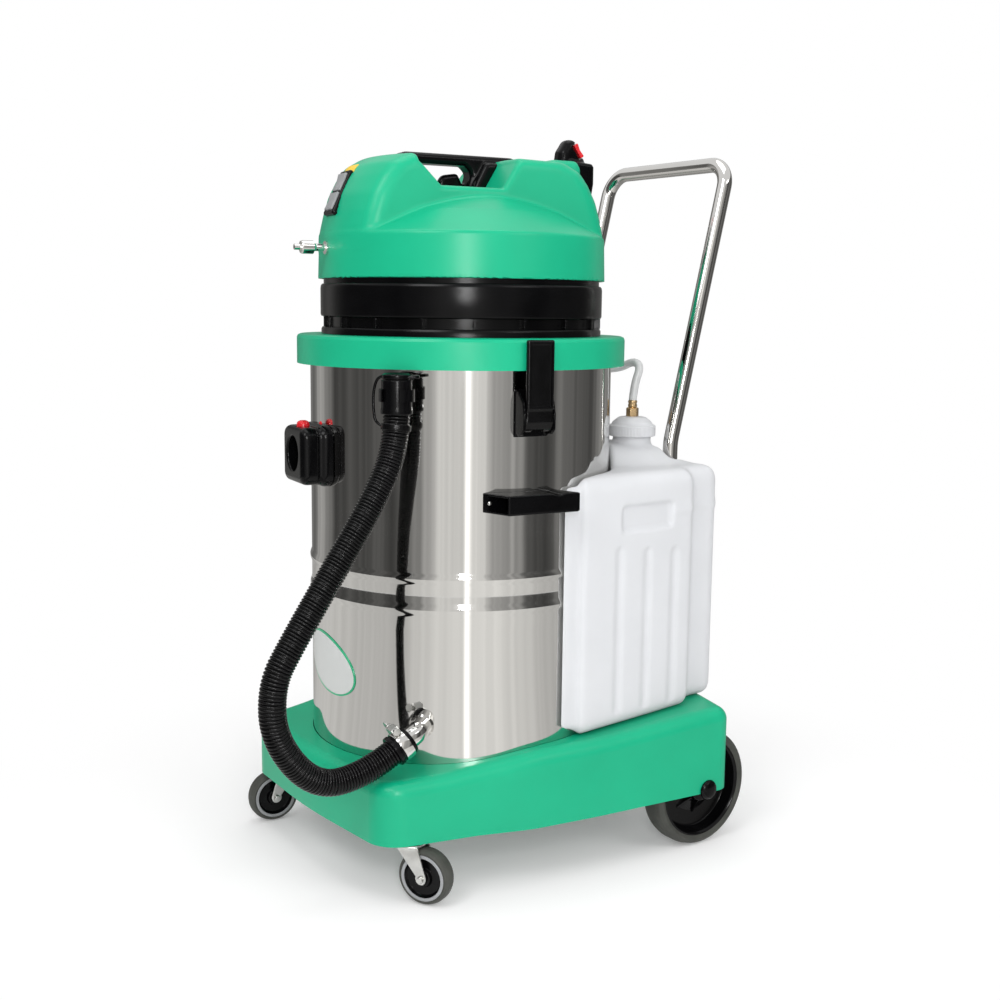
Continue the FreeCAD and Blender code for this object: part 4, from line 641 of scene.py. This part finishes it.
# The plate above the switches is a 40 by 14 mm grid laid on the cover, 0.9 mm thick.
PLATE_MID = KEY_TOP - KEY_DOWN * 5.5
PLATE_COLUMNS, PLATE_ROWS = 9, 4
plate_top = np.array([(-20 + 5 * i, *(PLATE_MID + KEY_DOWN * (-7 + 14 * j / 3)))
                      for i in range(PLATE_COLUMNS) for j in range(PLATE_ROWS)])
for _ in range(12):
    steepest = gradient(cover_outer, plate_top, 0.2)
    plate_top -= ((cover_outer(plate_top) - 0.5)[:, None] * steepest
                  / np.maximum((steepest * steepest).sum(1), 0.2)[:, None])
count = len(plate_top)
plate_faces = [(a, a + PLATE_ROWS, a + PLATE_ROWS + 1, a + 1)
               for a in range(count - PLATE_ROWS) if a % PLATE_ROWS < PLATE_ROWS - 1]
plate_border = [*range(0, count, PLATE_ROWS), *range(count - PLATE_ROWS + 1, count - 1),
                *range(count - 1, 0, -PLATE_ROWS), *range(PLATE_ROWS - 2, 0, -1)]
thin_sheet("blank_yellow_plate", plate_top, plate_top - steepest * 0.9, plate_faces,
           plate_border, HEAD_FRAME, YELLOW, "head")

# ---- solution tank

DECK_LINE = [(-275, 165), (-190, 167), (-118, 173), (-75, 180), (-35, 186), (40, 189),
             (180, 197), (285, 204), (340, 204)]
tank_plan_at, hump_plan_at = (
    outline_field(half + [(-x, y, r) for x, y, r in half[::-1]], 5) for half in (
        [(222, 17, 6), (222, 44, 4), (230, 48, 9), (230, 245, 14), (212, 262, 12),
         (212, 320, 22)], [(150, 140, 24), (178, 232, 24), (170, 306, 26)]))
TANK_TOP = 551.0
FILLER_X, FILLER_Y = 100.0, 241.0
FLUTES = [(112, 452), (163, 447), (214, 442)]


def tank_field(p):
    x, y, z = p.T
    plan = tank_plan_at(x, y)
    body = smax(plan, z - (TANK_TOP + 10 * np.clip((44 - y) / 30, 0, 1)), 26)
    body = smax(body, np.interp(y, *zip(*DECK_LINE)) - z + 0.6, 22)
    hump = (hump_plan_at(x, y) + (z - 533) * 0.82) / 1.293
    hump = smax(smax(smax(hump, z - 578, 26), 500 - z, 4), plan + 1.5, 12)
    neck = sd_cylinder(p, (FILLER_X, FILLER_Y, 560), 28, 42, 1.5)
    d = smax(smin(smin(body, hump, 18), neck, 8), 217.6 - np.hypot(x, y), 10)
    for side in (-134, 134):
        d = smax(d, -sd_box(p, (side, 306, 400), (20, 36, 420), 8), 7)
    q = np.stack([np.abs(x), y, z], axis=1)
    d = smax(d, -sd_box(q, (232, 162, 489.5), (8.5, 46, 17.5), 5), 5)
    for flute_y, top in FLUTES:
        off = z - np.clip(z, 222, top - 8)
        line = np.sqrt((y - flute_y) ** 2 + off ** 2 + (np.abs(x) - 233.5) ** 2)
        d = smax(d, -(line - 6.8), 5)
    return d


field_mesh("solution_tank_shell", tank_field, (-238, 8, 176), (238, 326, 612), 3.6, CART_FRAME,
           WHITE, "cart", "solution_tank", relax=4)


def lid_wobble(r, h, a):
    """Fine grip ribs round the lid's skirt."""
    return r - (0.25 + 0.25 * cos(48 * a) if 33 < r and h < 603 else 0)


def hex_wobble(r, h, a):
    """Six flats on the nut's wide part, round elsewhere."""
    return r if r < 9 else min(r, 8.2 / cos(a % (pi / 3) - pi / 6) * r / 9.4)


filler_frame = local_matrix(0, FILLER_X, FILLER_Y)
lathe("solution_cap_lid", [
    (9, 612), (9, 617.4, 1), (20, 616, 8), (29, 609, 6), (31, 605, 3), (35, 604, 2),
    (35, 588, 2), (31.5, 588), (31.5, 600), (26, 603), (19, 610)], WHITE, "solution_cap",
    filler_frame, segments=192, replaces="solution_cap", wobble=lid_wobble)
lathe("brass_fitting_nut", [
    (3, 600), (6, 600), (6, 611), (8, 611), (8, 617.3), (9.4, 617.3, 0.6), (9.4, 629, 0.8),
    (7.6, 630, 0.5), (6.2, 630.5), (7, 633, 0.6), (6, 636), (7, 638.4, 0.6), (6, 641),
    (3, 641)], BRASS, "cart", filler_frame, replaces="hose_fitting", wobble=hex_wobble, steps=3)

# ---- steel drum

DRUM_RADIUS = 215.0
PORT_LEVEL = 575.0
PORT_RADIUS = 26.5
BEADS = [(369, 390), (412, 430)]


def drum_out(z):
    """Outer radius of the drum wall with its two rolled beads."""
    return DRUM_RADIUS + sum(2.5 * sin(pi * (z - low) / (high - low)) ** 1.4
                             for low, high in BEADS if low < z < high)


wall_levels = sorted([165, 200, 260, 320, 350, 480, 520, 660, 700, 717]
                     + [low + (high - low) * i / 12 for low, high in BEADS for i in range(13)]
                     + [*range(545, 606, 3)])
drum = lathe("recovery_drum_steel", [
    (0, 150), *((201 + 14 * sin(radians(a)), 164 - 14 * cos(radians(a)))
                for a in range(0, 91, 10)), *((drum_out(z), z) for z in wall_levels),
    (217, 717.6), (218, 718.6), (218, 723), (217.2, 724), (213.8, 724),
    *((213.8, z) for z in wall_levels[::-1] if 540 < z < 610 or z in (165, 700)),
    (201, 151.2), (0, 151.2)], STEEL, "cart", HEAD_FRAME, segments=256,
    replaces="recovery_drum", angle=40)

# The round hose opening is cut out of the front wall and its border is rounded.
TO_DRUM = HEAD_FRAME.inverted()


def from_port(point):
    p = TO_DRUM @ point
    return p, hypot(p.x, p.z - PORT_LEVEL) if p.y < 0 else 1e9


bm = bmesh.new()
bm.from_mesh(drum.data)
bmesh.ops.delete(bm, context="FACES", geom=[
    face for face in bm.faces if from_port(face.calc_center_median())[1] < PORT_RADIUS])
for v in bm.verts:
    p, away = from_port(v.co)
    if away < PORT_RADIUS + 5 and v.is_boundary:
        x = p.x * PORT_RADIUS / away
        v.co = HEAD_FRAME @ Vector((x, -sqrt(p.x ** 2 + p.y ** 2 - x * x),
                                    PORT_LEVEL + (p.z - PORT_LEVEL) * PORT_RADIUS / away))
bm.to_mesh(drum.data)
bm.free()

# ---- hose inlet


def inlet_field(p):
    x, y, z = p.T
    front = np.stack([x, z], axis=1)
    block = sd_box(front, (0, 573), (43, 39), 14)
    case = smax(block, -254 - y, 12)
    bulge = smax(sd_box(front, (0, 573), (46.5, 42), 17), np.abs(y + 214) - 14, 11)
    d = smin(np.maximum(case, y + 200), bulge, 2)
    seam = np.maximum(np.abs(y + 230) - 0.8, np.abs(block) - 1.6)
    d = np.maximum(np.maximum(d, -seam), 215.3 - np.hypot(x, y))
    away = np.hypot(x, z - PORT_LEVEL)
    liner = np.maximum(np.maximum(away - 28.5, np.abs(y + 218) - 12), 24 - away)
    d = smax(np.minimum(d, liner), 24 - away, 3)
    lip = np.maximum(np.abs(away - 28.5) - 1.2, -253.2 - y)
    d = smax(d, -np.maximum(lip, y + 252.4), 0.6)
    return np.maximum(d, -np.maximum(np.hypot(x, y + 238) - 9.5, 601 - z))


field_mesh("inlet_housing_case", inlet_field, (-50, -258, 526), (50, -198, 620), 1.5, HEAD_FRAME,
           BLACK, "cart", "inlet_housing drum_screws", relax=4)
lathe("release_button_dome", [(0, 606), (8.8, 606), (8.8, 614.2), (8.4, 616.4), (7, 618.4),
                              (4, 619.8), (0, 620)], RED, "release_button",
      HEAD_FRAME @ Matrix.Translation((0, -238, 0)), segments=48, replaces="release_button",
      angle=50)
lathe("release_button_rear_dome", [(0, 611), (5, 611), (5, 616), (3.6, 618.4), (0, 619.4)], RED,
      "cart", HEAD_FRAME @ Matrix.Translation((6, -212, 0)), segments=32, angle=50)

# ---- side latches


def latch_field(p):
    x, y, z = p.T
    hinge = np.hypot(y + 229, z - 628)
    plate = sd_box(p, (0, -239, 681.5), (19.5, 2.6, 53.5), 2.4)
    rim = np.maximum(sd_box(p, (0, -240.6, 690), (19.5, 3.0, 45), 2.6),
                     -sd_box(p, (0, -244, 690), (15.5, 2.6, 40), 1.4))
    d = smin(smin(plate, rim, 1.0), np.maximum(hinge - 11.2, np.abs(x) - 19.5), 4)
    d = np.maximum(d, np.where(z < 628, hinge - 12.4, -1e3))
    d = smin(d, sd_box(p, (0, -234, 724), (12, 3.6, 3), 1), 2)
    lug = np.maximum(np.abs(x) - 8.5, np.maximum(z - 645, -236.4 - y))
    return np.maximum.reduce([d, -lug, 3.05 - hinge, -244.0 - y])


def bracket_field(p):
    x, y, z = p.T
    plan = sd_polygon(y, z, [(-213, 615), (-222, 611), (-234, 613), (-241.5, 619), (-242, 640),
                             (-238, 656), (-224, 668), (-213, 670)])
    cheek = smax(plan, np.abs(np.abs(x) - 21.6) - 1.5, 1.4)
    base = sd_box(p, (0, -215.4, 640), (24.0, 1.2, 31), 0.6)
    block = sd_box(p, (0, -221, 629), (8, 8, 7), 2)
    return np.maximum(np.minimum.reduce([cheek, base, block]), 215.2 - np.hypot(x, y))


for latch, turn, brackets in (("near_latch", 81, "latch_brackets"), ("far_latch", -99, "")):
    field_mesh(latch + "_clip", latch_field, (-23, -246, 612), (23, -226, 740), 1.25,
               local_matrix(turn), CLIP, latch, latch)
    field_mesh(latch + "_bracket", bracket_field, (-28, -245, 592), (28, -208, 680), 1.6,
               local_matrix(turn), BLACK, "cart", brackets)

# ---- accessory holder

HOLDER_FRAME = local_matrix(82.5)


def holder_field(p):
    x, y, z = p.T
    outer = sd_polygon(x, y, [(-55, -250), (55, -250), (38, -207), (38, -180), (-72, -180),
                              (-72, -203)])
    inner = sd_polygon(x, y, [(-80, -246.5), (52, -246.5), (35, -212), (-80, -212)])
    d = smax(outer + 2, np.abs(z - 524) - 13, 2.4)
    d = smax(d, -np.maximum(inner + 1, np.abs(z - 524) - 9.8), 1.0)
    d = smax(d, 14 - np.hypot(x - 20, z - 549), 3)
    return np.maximum(d, 215.2 - np.hypot(x, y))


field_mesh("accessory_holder_tube", holder_field, (-78, -254, 507), (60, -176, 541), 1.6,
           HOLDER_FRAME, BLACK, "cart", "accessory_holder")
lathe("accessory_holder_screw", [(0, -215.0), (1.8, -214.8), (3.0, -214.0), (3.5, -212.6),
                                 (3.5, -211), (0, -211)], ZINC, "cart",
      HOLDER_FRAME @ Matrix.Translation((-63, 0, 524)), axis="Y", segments=32, angle=50)

# ---- drain elbow, clamp and push handle


def bent_line(points, radii, steps=14):
    """Straight runs joined by arcs, from corner points in mm to a line in metres."""
    pts = [points[0]]
    for before, corner, after, radius in zip(points, points[1:], points[2:], radii):
        pts += corner_arc(before, corner, after, radius, steps)
    return [Vector((q.x * MM, AXIS_Y + q.y * MM, q.z * MM)) for q in [*pts, points[-1]]]


DRAIN_TURN = radians(43)
wall_way = Vector((sin(DRAIN_TURN), -cos(DRAIN_TURN), 0))
drain_level = Vector((0, 0, 222))
drain_corner = wall_way * 246 + drain_level
drain_way = Vector((-0.06, -0.86, -0.50)).normalized()
drain_place = CART_FRAME @ aimed(drain_corner, drain_way)
ribbed_tube("drain_elbow_bend", bent_line([wall_way * 213.6 + drain_level, drain_corner,
                                           drain_corner + drain_way * 22], [16]),
            lambda s: (14.0 + 2.2 * max(0, 1 - s / 0.006)) * MM,    # flares at the drum
            90, 64, CHROME, "drain_elbow")
lathe("drain_collar_sleeve", [
    (14, 12), (18.6, 12, 1), (19.6, 15, 1), (20, 18), (20, 34, 1), (21.2, 35, 0.8),
    (21.2, 40, 1.2), (17.6, 41), (14, 41)], BLACK, "cart", drain_place, replaces="drain_collar")


def band_wobble(r, h, a):
    """Worm slots of the clamp's band."""
    return r + (0.25 if r > 21 and abs(h - 24.5) < 5 and sin(60 * a) > 0 else 0)


lathe("hose_clamp_band", [(20.1, 18), (21.4, 17.4, 0.5), (21.4, 31.6, 0.5), (20.1, 31)], CLAMP,
      "cart", drain_place, segments=128, replaces="hose_clamp", wobble=band_wobble, steps=3)
drain_side = drain_way.cross(Vector((0, 0, 1))).normalized()
drain_top = drain_side.cross(drain_way).normalized()
worm_place = (CART_FRAME
              @ Matrix.Translation(drain_corner + drain_way * 24.5 + drain_top * 25.2)
              @ Matrix((drain_side, drain_way, drain_top)).transposed().to_4x4())
lathe("hose_clamp_worm", [
    (0, -11), (4.8, -11, 0.6), (4.8, 8), (3.6, 8.4), (3.6, 10), (5, 10.4, 0.5), (5, 13.6, 0.5),
    (0, 13.6)], ZINC, "cart", worm_place, axis="X", segments=40, steps=3)
extrude("hose_clamp_wing", [
    (13, -2), (15, -4.5, 1), (20, -6.5, 3), (25, -4, 3), (26, 0, 2), (25, 4, 3), (20, 6.5, 3),
    (15, 4.5, 1), (13, 2)], -1.2, 1.2, "XZ", worm_place, ZINC, "cart", bevel=0.6)
extrude("hose_clamp_housing", [(-9, -4.6), (9, -4.6), (9, 2), (6, 4.8), (-6, 4.8), (-9, 2)],
        -5.6, 5.6, "XZ", worm_place, ZINC, "cart", bevel=0.8)

HANDLE = [Vector(v) for v in ((134, 288, 206), (134, 288, 579), (134, 390, 992),
                              (-134, 390, 992), (-134, 288, 579), (-134, 288, 206))]
ribbed_tube("push_handle_tube", bent_line(HANDLE, [90, 36, 36, 90], 24), lambda s: 11.0 * MM,
            640, 48, CHROME, "push_handle")

# ---- wheels and casters

WHEEL_Y, WHEEL_RADIUS = 254.0, 86.0
for side, sign in (("right", 1), ("left", -1)):
    place = local_matrix(0, 0, WHEEL_Y, WHEEL_RADIUS) @ Matrix.Scale(sign, 4, (1, 0, 0))
    wheel = side + "_wheel"
    lathe(side + "_tyre_rubber", [
        (72, 225), (77, 222, 2), (78, 222, 4), (83.8, 226, 4), (86, 234, 3), (86, 250, 3),
        (83.8, 258, 4), (78, 262, 3), (77, 262, 1.5), (72, 259)], TYRE, wheel, place, axis="X",
        segments=160, replaces=side + "_tyre")
    lathe(side + "_hub_disc", [
        (8.2, 222), (20, 222, 1), (22, 236), (63, 236, 2), (67, 226), (72, 225), (72, 259),
        (70, 260.5, 1), (67.5, 257, 1), (63, 241, 4), (40, 240, 3), (24, 244, 3), (20, 260, 2),
        (8.2, 262)], BLACK, wheel, place, axis="X", segments=128, replaces=side + "_hub",
        steps=3)
    for k in range(8):
        extrude("%s_hub_rib_%d" % (side, k + 1), [(19, 256), (30, 248), (44, 240.5), (44, 239),
                                                  (19, 239)], -1.6, 1.6, "ZX",
                place @ Matrix.Rotation(pi * k / 4, 4, "X"), BLACK, wheel, bevel=0.8)
    lathe(side + "_axle_cap_dome", [
        (0, 280), (5, 279.7), (9, 278.6), (12.4, 276.6), (14.4, 274.2), (15, 272), (14, 270.6),
        (8.2, 270.4)], BLACK, "cart", place, axis="X", segments=64, angle=60,
        replaces="axle_caps" if sign > 0 else "")


def fork_field(p):
    x, y, z = p.T
    crown = sd_cylinder(p, (0, 0, 78.8), 22, 2.3, 1.6)
    stem = sd_cylinder(p, (0, 0, 92), 5, 12, 0.4)
    leg = sd_polygon(y, z, [(14, 79), (-20, 79), (-32.4, 41), (-32.8, 37.5), (-31.4, 33.2),
                            (-28.6, 30.6), (-25, 29.9), (-21.4, 30.6), (-18.6, 33.2),
                            (-17.2, 37.5), (-17.6, 41)])
    bend = np.clip((z - 66) / 12, 0, 1) * 0.6
    legs = smax(leg, np.abs(np.abs(x) - (15.3 - bend)) - 1.3, 0.8)
    return smin(np.minimum(crown, stem), legs, 3)


CASTER_RINGS = [                  # half of each profile, mirrored when it is turned
    ("bolt_head", [(0, -20.6), (4.4, -20.6, 0.8), (4.8, -16.8), (3.9, -16.6)], 3, ZINC, 48,
     "", "_caster_bolt"),
    ("tread", [(31, -11), (33.4, -12.5, 1.5), (36, -9, 2.5), (37.5, -4, 4)], 4, TYRE, 96,
     "_wheel", "_caster_wheel"),
    ("ring", [(26.5, -9), (27, -12.3, 0.6), (31.2, -12.3, 0.8)], 3, GREY, 96, "_wheel", ""),
    ("core", [(4.1, -12), (11, -12, 1), (13, -7, 1), (24, -7.5, 1.5), (26.6, -11.6)], 3, BLACK,
     96, "_wheel", "")]
for side, x, trail in (("right", 176, 119), ("left", -176, -5)):
    place = local_matrix(trail, x, -195)
    field_mesh(side + "_fork_pressed", fork_field, (-25, -36, 26), (25, 25, 106), 1.3, place,
               ZINC, side + "_caster", side + "_fork")
    for ring, half, steps, look, segments, on, node_end in CASTER_RINGS:
        profile = half + [(r, -h, *rest) for r, h, *rest in half[::-1]]
        lathe(side + "_caster_" + ring, profile, look, side + "_caster" + on,
              place @ Matrix.Translation((0, -25, 37.5)), axis="X", segments=segments,
              replaces=node_end and side + node_end, steps=steps)

# ---- lower motor housing

lathe("head_base_band", [
    (199, 736.6), (199, 743.5), (197.6, 746), (195, 746.8), (190, 746.8), (190, 760.4),
    (197, 760.4), (199.3, 761.6), (200, 764), (200, 800), (199.4, 803.4), (197.8, 805.6),
    (195.5, 806), (195.5, 812.6), (180, 812.6), (180, 736.6)], BLACK, "head", HEAD_FRAME,
    segments=224, replaces="head_base", angle=40)
for k in range(18):
    extrude("head_base_rib_%d" % (k + 1), [(-2, -198.2), (2, -198.2), (2, -188), (-2, -188)],
            746.6, 760.8, "XY", HEAD_FRAME @ Matrix.Rotation(radians(10 + 20 * k), 4, "Z"),
            BLACK, "head", bevel=0.7)

# ---- badge plate

BADGE_LEVEL = 283
BADGE_TILT = radians(16)
BADGE_RINGS, BADGE_AROUND = 12, 96


def badge_sheet(name, long_half, short_half, low, high, look, replaces=""):
    """Thin curved oval lying on the drum, tilted in its own plane."""
    around = [2 * pi * k / BADGE_AROUND for k in range(BADGE_AROUND)]
    grid = [(0.0, 0.0)] + [(long_half * i / BADGE_RINGS * cos(a),
                            short_half * i / BADGE_RINGS * sin(a))
                           for i in range(1, BADGE_RINGS + 1) for a in around]

    def at(u, v, radius):
        turn = (u * cos(BADGE_TILT) + v * sin(BADGE_TILT)) / DRUM_RADIUS
        up = -u * sin(BADGE_TILT) + v * cos(BADGE_TILT)
        return radius * sin(turn), -radius * cos(turn), BADGE_LEVEL + up

    last = len(grid) - BADGE_AROUND
    top = [at(u, v, high - (0.3 if i >= last else 0)) for i, (u, v) in enumerate(grid)]
    faces = []
    for k in range(BADGE_AROUND):
        k2 = (k + 1) % BADGE_AROUND
        faces.append((0, 1 + k, 1 + k2))
        for a in range(1, last, BADGE_AROUND):
            b = a + BADGE_AROUND
            faces.append((a + k, b + k, b + k2, a + k2))
    thin_sheet(name, top, [at(u, v, low) for u, v in grid], faces, range(last, len(grid)),
               local_matrix(-2.5), look, "cart", replaces, angle=50)


badge_sheet("badge_border", 68, 39, 215.1, 216.4, BADGE_EDGE, "badge_plate")
badge_sheet("badge_face", 65.4, 36.4, 216.0, 216.8, BADGE)

# ---- camera, stage and light

CAMERA_TURN, CAMERA_YAW = radians(56), radians(-1.73)
CAMERA_PITCH, CAMERA_ROLL = radians(8.31), radians(0.65)
CAMERA_AWAY, CAMERA_HEIGHT = 1.925, 0.778
FOCAL_PIXELS, IMAGE_PIXELS = 1331, 1000
camera_data = bpy.data.cameras.new("camera")
camera_data.lens = FOCAL_PIXELS * camera_data.sensor_width / IMAGE_PIXELS
camera = add_object("camera", camera_data)
SCENE.camera = camera
view_dir = Vector((sin(CAMERA_TURN), -cos(CAMERA_TURN), 0))
lateral = Vector((cos(CAMERA_TURN), sin(CAMERA_TURN), 0))
camera.matrix_world = (
    Matrix.Translation(view_dir * CAMERA_AWAY + Vector((0, AXIS_Y, CAMERA_HEIGHT)))
    @ Matrix.Rotation(CAMERA_TURN + CAMERA_YAW, 4, "Z")
    @ Matrix.Rotation(pi / 2 - CAMERA_PITCH, 4, "X") @ Matrix.Rotation(CAMERA_ROLL, 4, "Z"))

FLOOR_LIFT = 0.18                 # brightens the shadow as the camera sees it
FLOOR_FADE = (0.42, 0.86)         # from lit floor to plain white, in metres from the origin
WORLD_GLOW = 0.62
RAY_GLOW = {"Is Glossy Ray": 0.85, "Is Transmission Ray": 1.0, "Is Camera Ray": 1.0}


def math_value(tree, operation, a, b):
    return node(tree, "Math", {0: a, 1: b}, operation=operation)


def mix_shaders(tree, share, first, second):
    return node(tree, "MixShader", {"Fac": share, 1: first, 2: second})


def floor_look():
    """Pale floor: lit and shadowed near the object, plain white far from it."""
    mat, tree = node_material("floor")
    shader = tree.nodes["Principled BSDF"]
    feed(tree, shader, {"Roughness": 0.9, "Specular IOR Level": 0.05,
                        "Base Color": (0.86, 0.86, 0.86, 1)})
    away = node(tree, "VectorMath", {0: node(tree, "TexCoord", out="Object")}, "Value",
                operation="LENGTH")
    fade = node(tree, "MapRange", {"Value": away, "From Min": FLOOR_FADE[0],
                                   "From Max": FLOOR_FADE[1]}, interpolation_type="SMOOTHSTEP")
    rays = node(tree, "LightPath").node.outputs
    seen = math_value(tree, "MAXIMUM", rays["Is Camera Ray"], rays["Is Glossy Ray"])
    seen = math_value(tree, "MAXIMUM", seen, rays["Is Transmission Ray"])
    lift = node(tree, "Emission", {"Strength": FLOOR_LIFT})
    lifted = node(tree, "AddShader", {0: shader.outputs[0], 1: lift})
    far = mix_shaders(tree, fade, lifted, node(tree, "Emission"))
    feed(tree, tree.nodes["Material Output"],
         {"Surface": mix_shaders(tree, seen, shader.outputs[0], far)})
    return mat


def stage_piece(name, verts, faces, mat):
    mesh = bpy.data.meshes.new(name)
    mesh.from_pydata(verts, [], faces)
    mesh.materials.append(mat)
    obj = add_object(name, mesh)
    return obj


stage_piece("floor", [(-15, -15, 0), (15, -15, 0), (15, 15, 0), (-15, 15, 0)], [(0, 1, 2, 3)],
            floor_look())

world = bpy.data.worlds.new("studio")
SCENE.world = world
world.use_nodes = True
tree = world.node_tree
sky = node(tree, "Background", {"Strength": WORLD_GLOW, "Color": (1, 1, 1, 1)})
for ray, strength in RAY_GLOW.items():
    glow = node(tree, "Background", {"Strength": strength, "Color": (1, 1, 1, 1)})
    sky = mix_shaders(tree, node(tree, "LightPath", out=ray), sky, glow)
feed(tree, tree.nodes["World Output"], {"Surface": sky})

# The studio's walls and floor, seen in reflections only: percent of brightness by the angle
# round the object, bright behind the camera and darker to the sides.
WALL_RADIUS = 2.3
WALL_LEVELS = (0.02, 1.9)
RING_RADIUS, RING_LEVEL = 0.42, 0.003
WARM_TONE = (1, 0.985, 0.955)
WALL_TONES = [
    (-180, 30), (-142, 16), (-128, 46), (-114, 24), (-103, 7), (-85, 10), (-70, 9), (-60, 13),
    (-50, 6), (-40, 18), (-30, 28), (-20, 60), (-10, 90), (-3, 72), (2.5, 84), (5.4, 200),
    (8.5, 96), (18, 78), (26, 38), (36, 42), (43, 34), (50, 9), (66, 7), (77, 20), (90, 13),
    (112, 9), (128, 27), (150, 22), (170, 30)]
FLOOR_TONES = [
    (-180, 45), (-150, 42), (-126, 68), (-112, 72), (-85, 68), (-62, 66), (-41, 60),
    (-28, 80), (-16, 88), (-3, 90), (2.5, 92), (5.4, 200), (8.5, 96), (22, 96), (35, 86),
    (48, 75), (62, 62), (77, 56), (90, 46), (112, 34), (150, 30)]


def studio_look(name, tones, spread):
    mat, tree = node_material(name)
    split = node(tree, "SeparateXYZ", {0: node(tree, "TexCoord", out="Object")}).node.outputs
    angle = math_value(tree, "ARCTAN2", split["Y"], split["X"])
    share = math_value(tree, "ADD", math_value(tree, "DIVIDE", angle, 2 * pi), 0.5)
    color = node(tree, "ValToRGB", {"Fac": share})
    ramp = color.node.color_ramp
    ramp.interpolation = "EASE"
    while len(ramp.elements) < len(tones):
        ramp.elements.new(0.5)
    for stop, (degrees, tone) in zip(ramp.elements, tones):
        stop.position = (degrees + 180) / 360
        stop.color = (*(tone / 100 * c for c in WARM_TONE), 1)
    streaks = node(tree, "TexNoise", {"W": share, "Scale": 60, "Detail": 4},
                   noise_dimensions="1D")
    vary = node(tree, "MapRange", {"Value": streaks, "From Min": 0.35, "From Max": 0.65,
                                   "To Min": 1 - spread, "To Max": 1 + spread})
    feed(tree, tree.nodes["Material Output"],
         {"Surface": node(tree, "Emission", {"Color": color, "Strength": vary})})
    return mat


def studio_band(name, edges, tones, spread):
    """Band round the object between two (radius, level) edges, for glossy rays only."""
    steps = 128
    verts = [(r * cos(2 * pi * k / steps), r * sin(2 * pi * k / steps), level)
             for k in range(steps) for r, level in edges]
    faces = [(2 * k, 2 * n, 2 * n + 1, 2 * k + 1)
             for k, n in zip(range(steps), [*range(1, steps), 0])]
    band = stage_piece(name, verts, faces, studio_look(name, tones, spread))
    band.location = (0, AXIS_Y, 0)
    band.rotation_euler = (0, 0, CAMERA_TURN - pi / 2)
    for ray in ("camera", "diffuse", "transmission", "volume_scatter", "shadow"):
        setattr(band, "visible_" + ray, False)


studio_band("studio_wall", [(WALL_RADIUS, level) for level in WALL_LEVELS], WALL_TONES, 0.16)
studio_band("studio_floor_ring", [(r, RING_LEVEL) for r in (RING_RADIUS, WALL_RADIUS)],
            FLOOR_TONES, 0.05)

# Lamps: distance toward the camera and to its right, height over the middle, size and watts.
LAMPS = {"flash": (2.1, 0.12, 0.5, 0.22, 0.7, 13), "key": (1.9, -1.1, 1.9, 1.1, 1.1, 20),
         "fill": (1.6, 1.9, 1.2, 1.1, 1.1, 12), "top": (0, 0, 2.3, 1.6, 1.6, 14)}
middle = Vector((0, AXIS_Y, 0.55))
for name, (near, aside, above, size, size_y, power) in LAMPS.items():
    data = bpy.data.lights.new(name, "AREA")
    data.shape = "RECTANGLE"
    data.size, data.size_y, data.energy = size, size_y, power
    spot = middle + view_dir * near + lateral * aside + Vector((0, 0, above))
    add_object(name, data).matrix_world = aimed(spot, middle - spot, "-Z")

SCENE.view_settings.view_transform = "Standard"
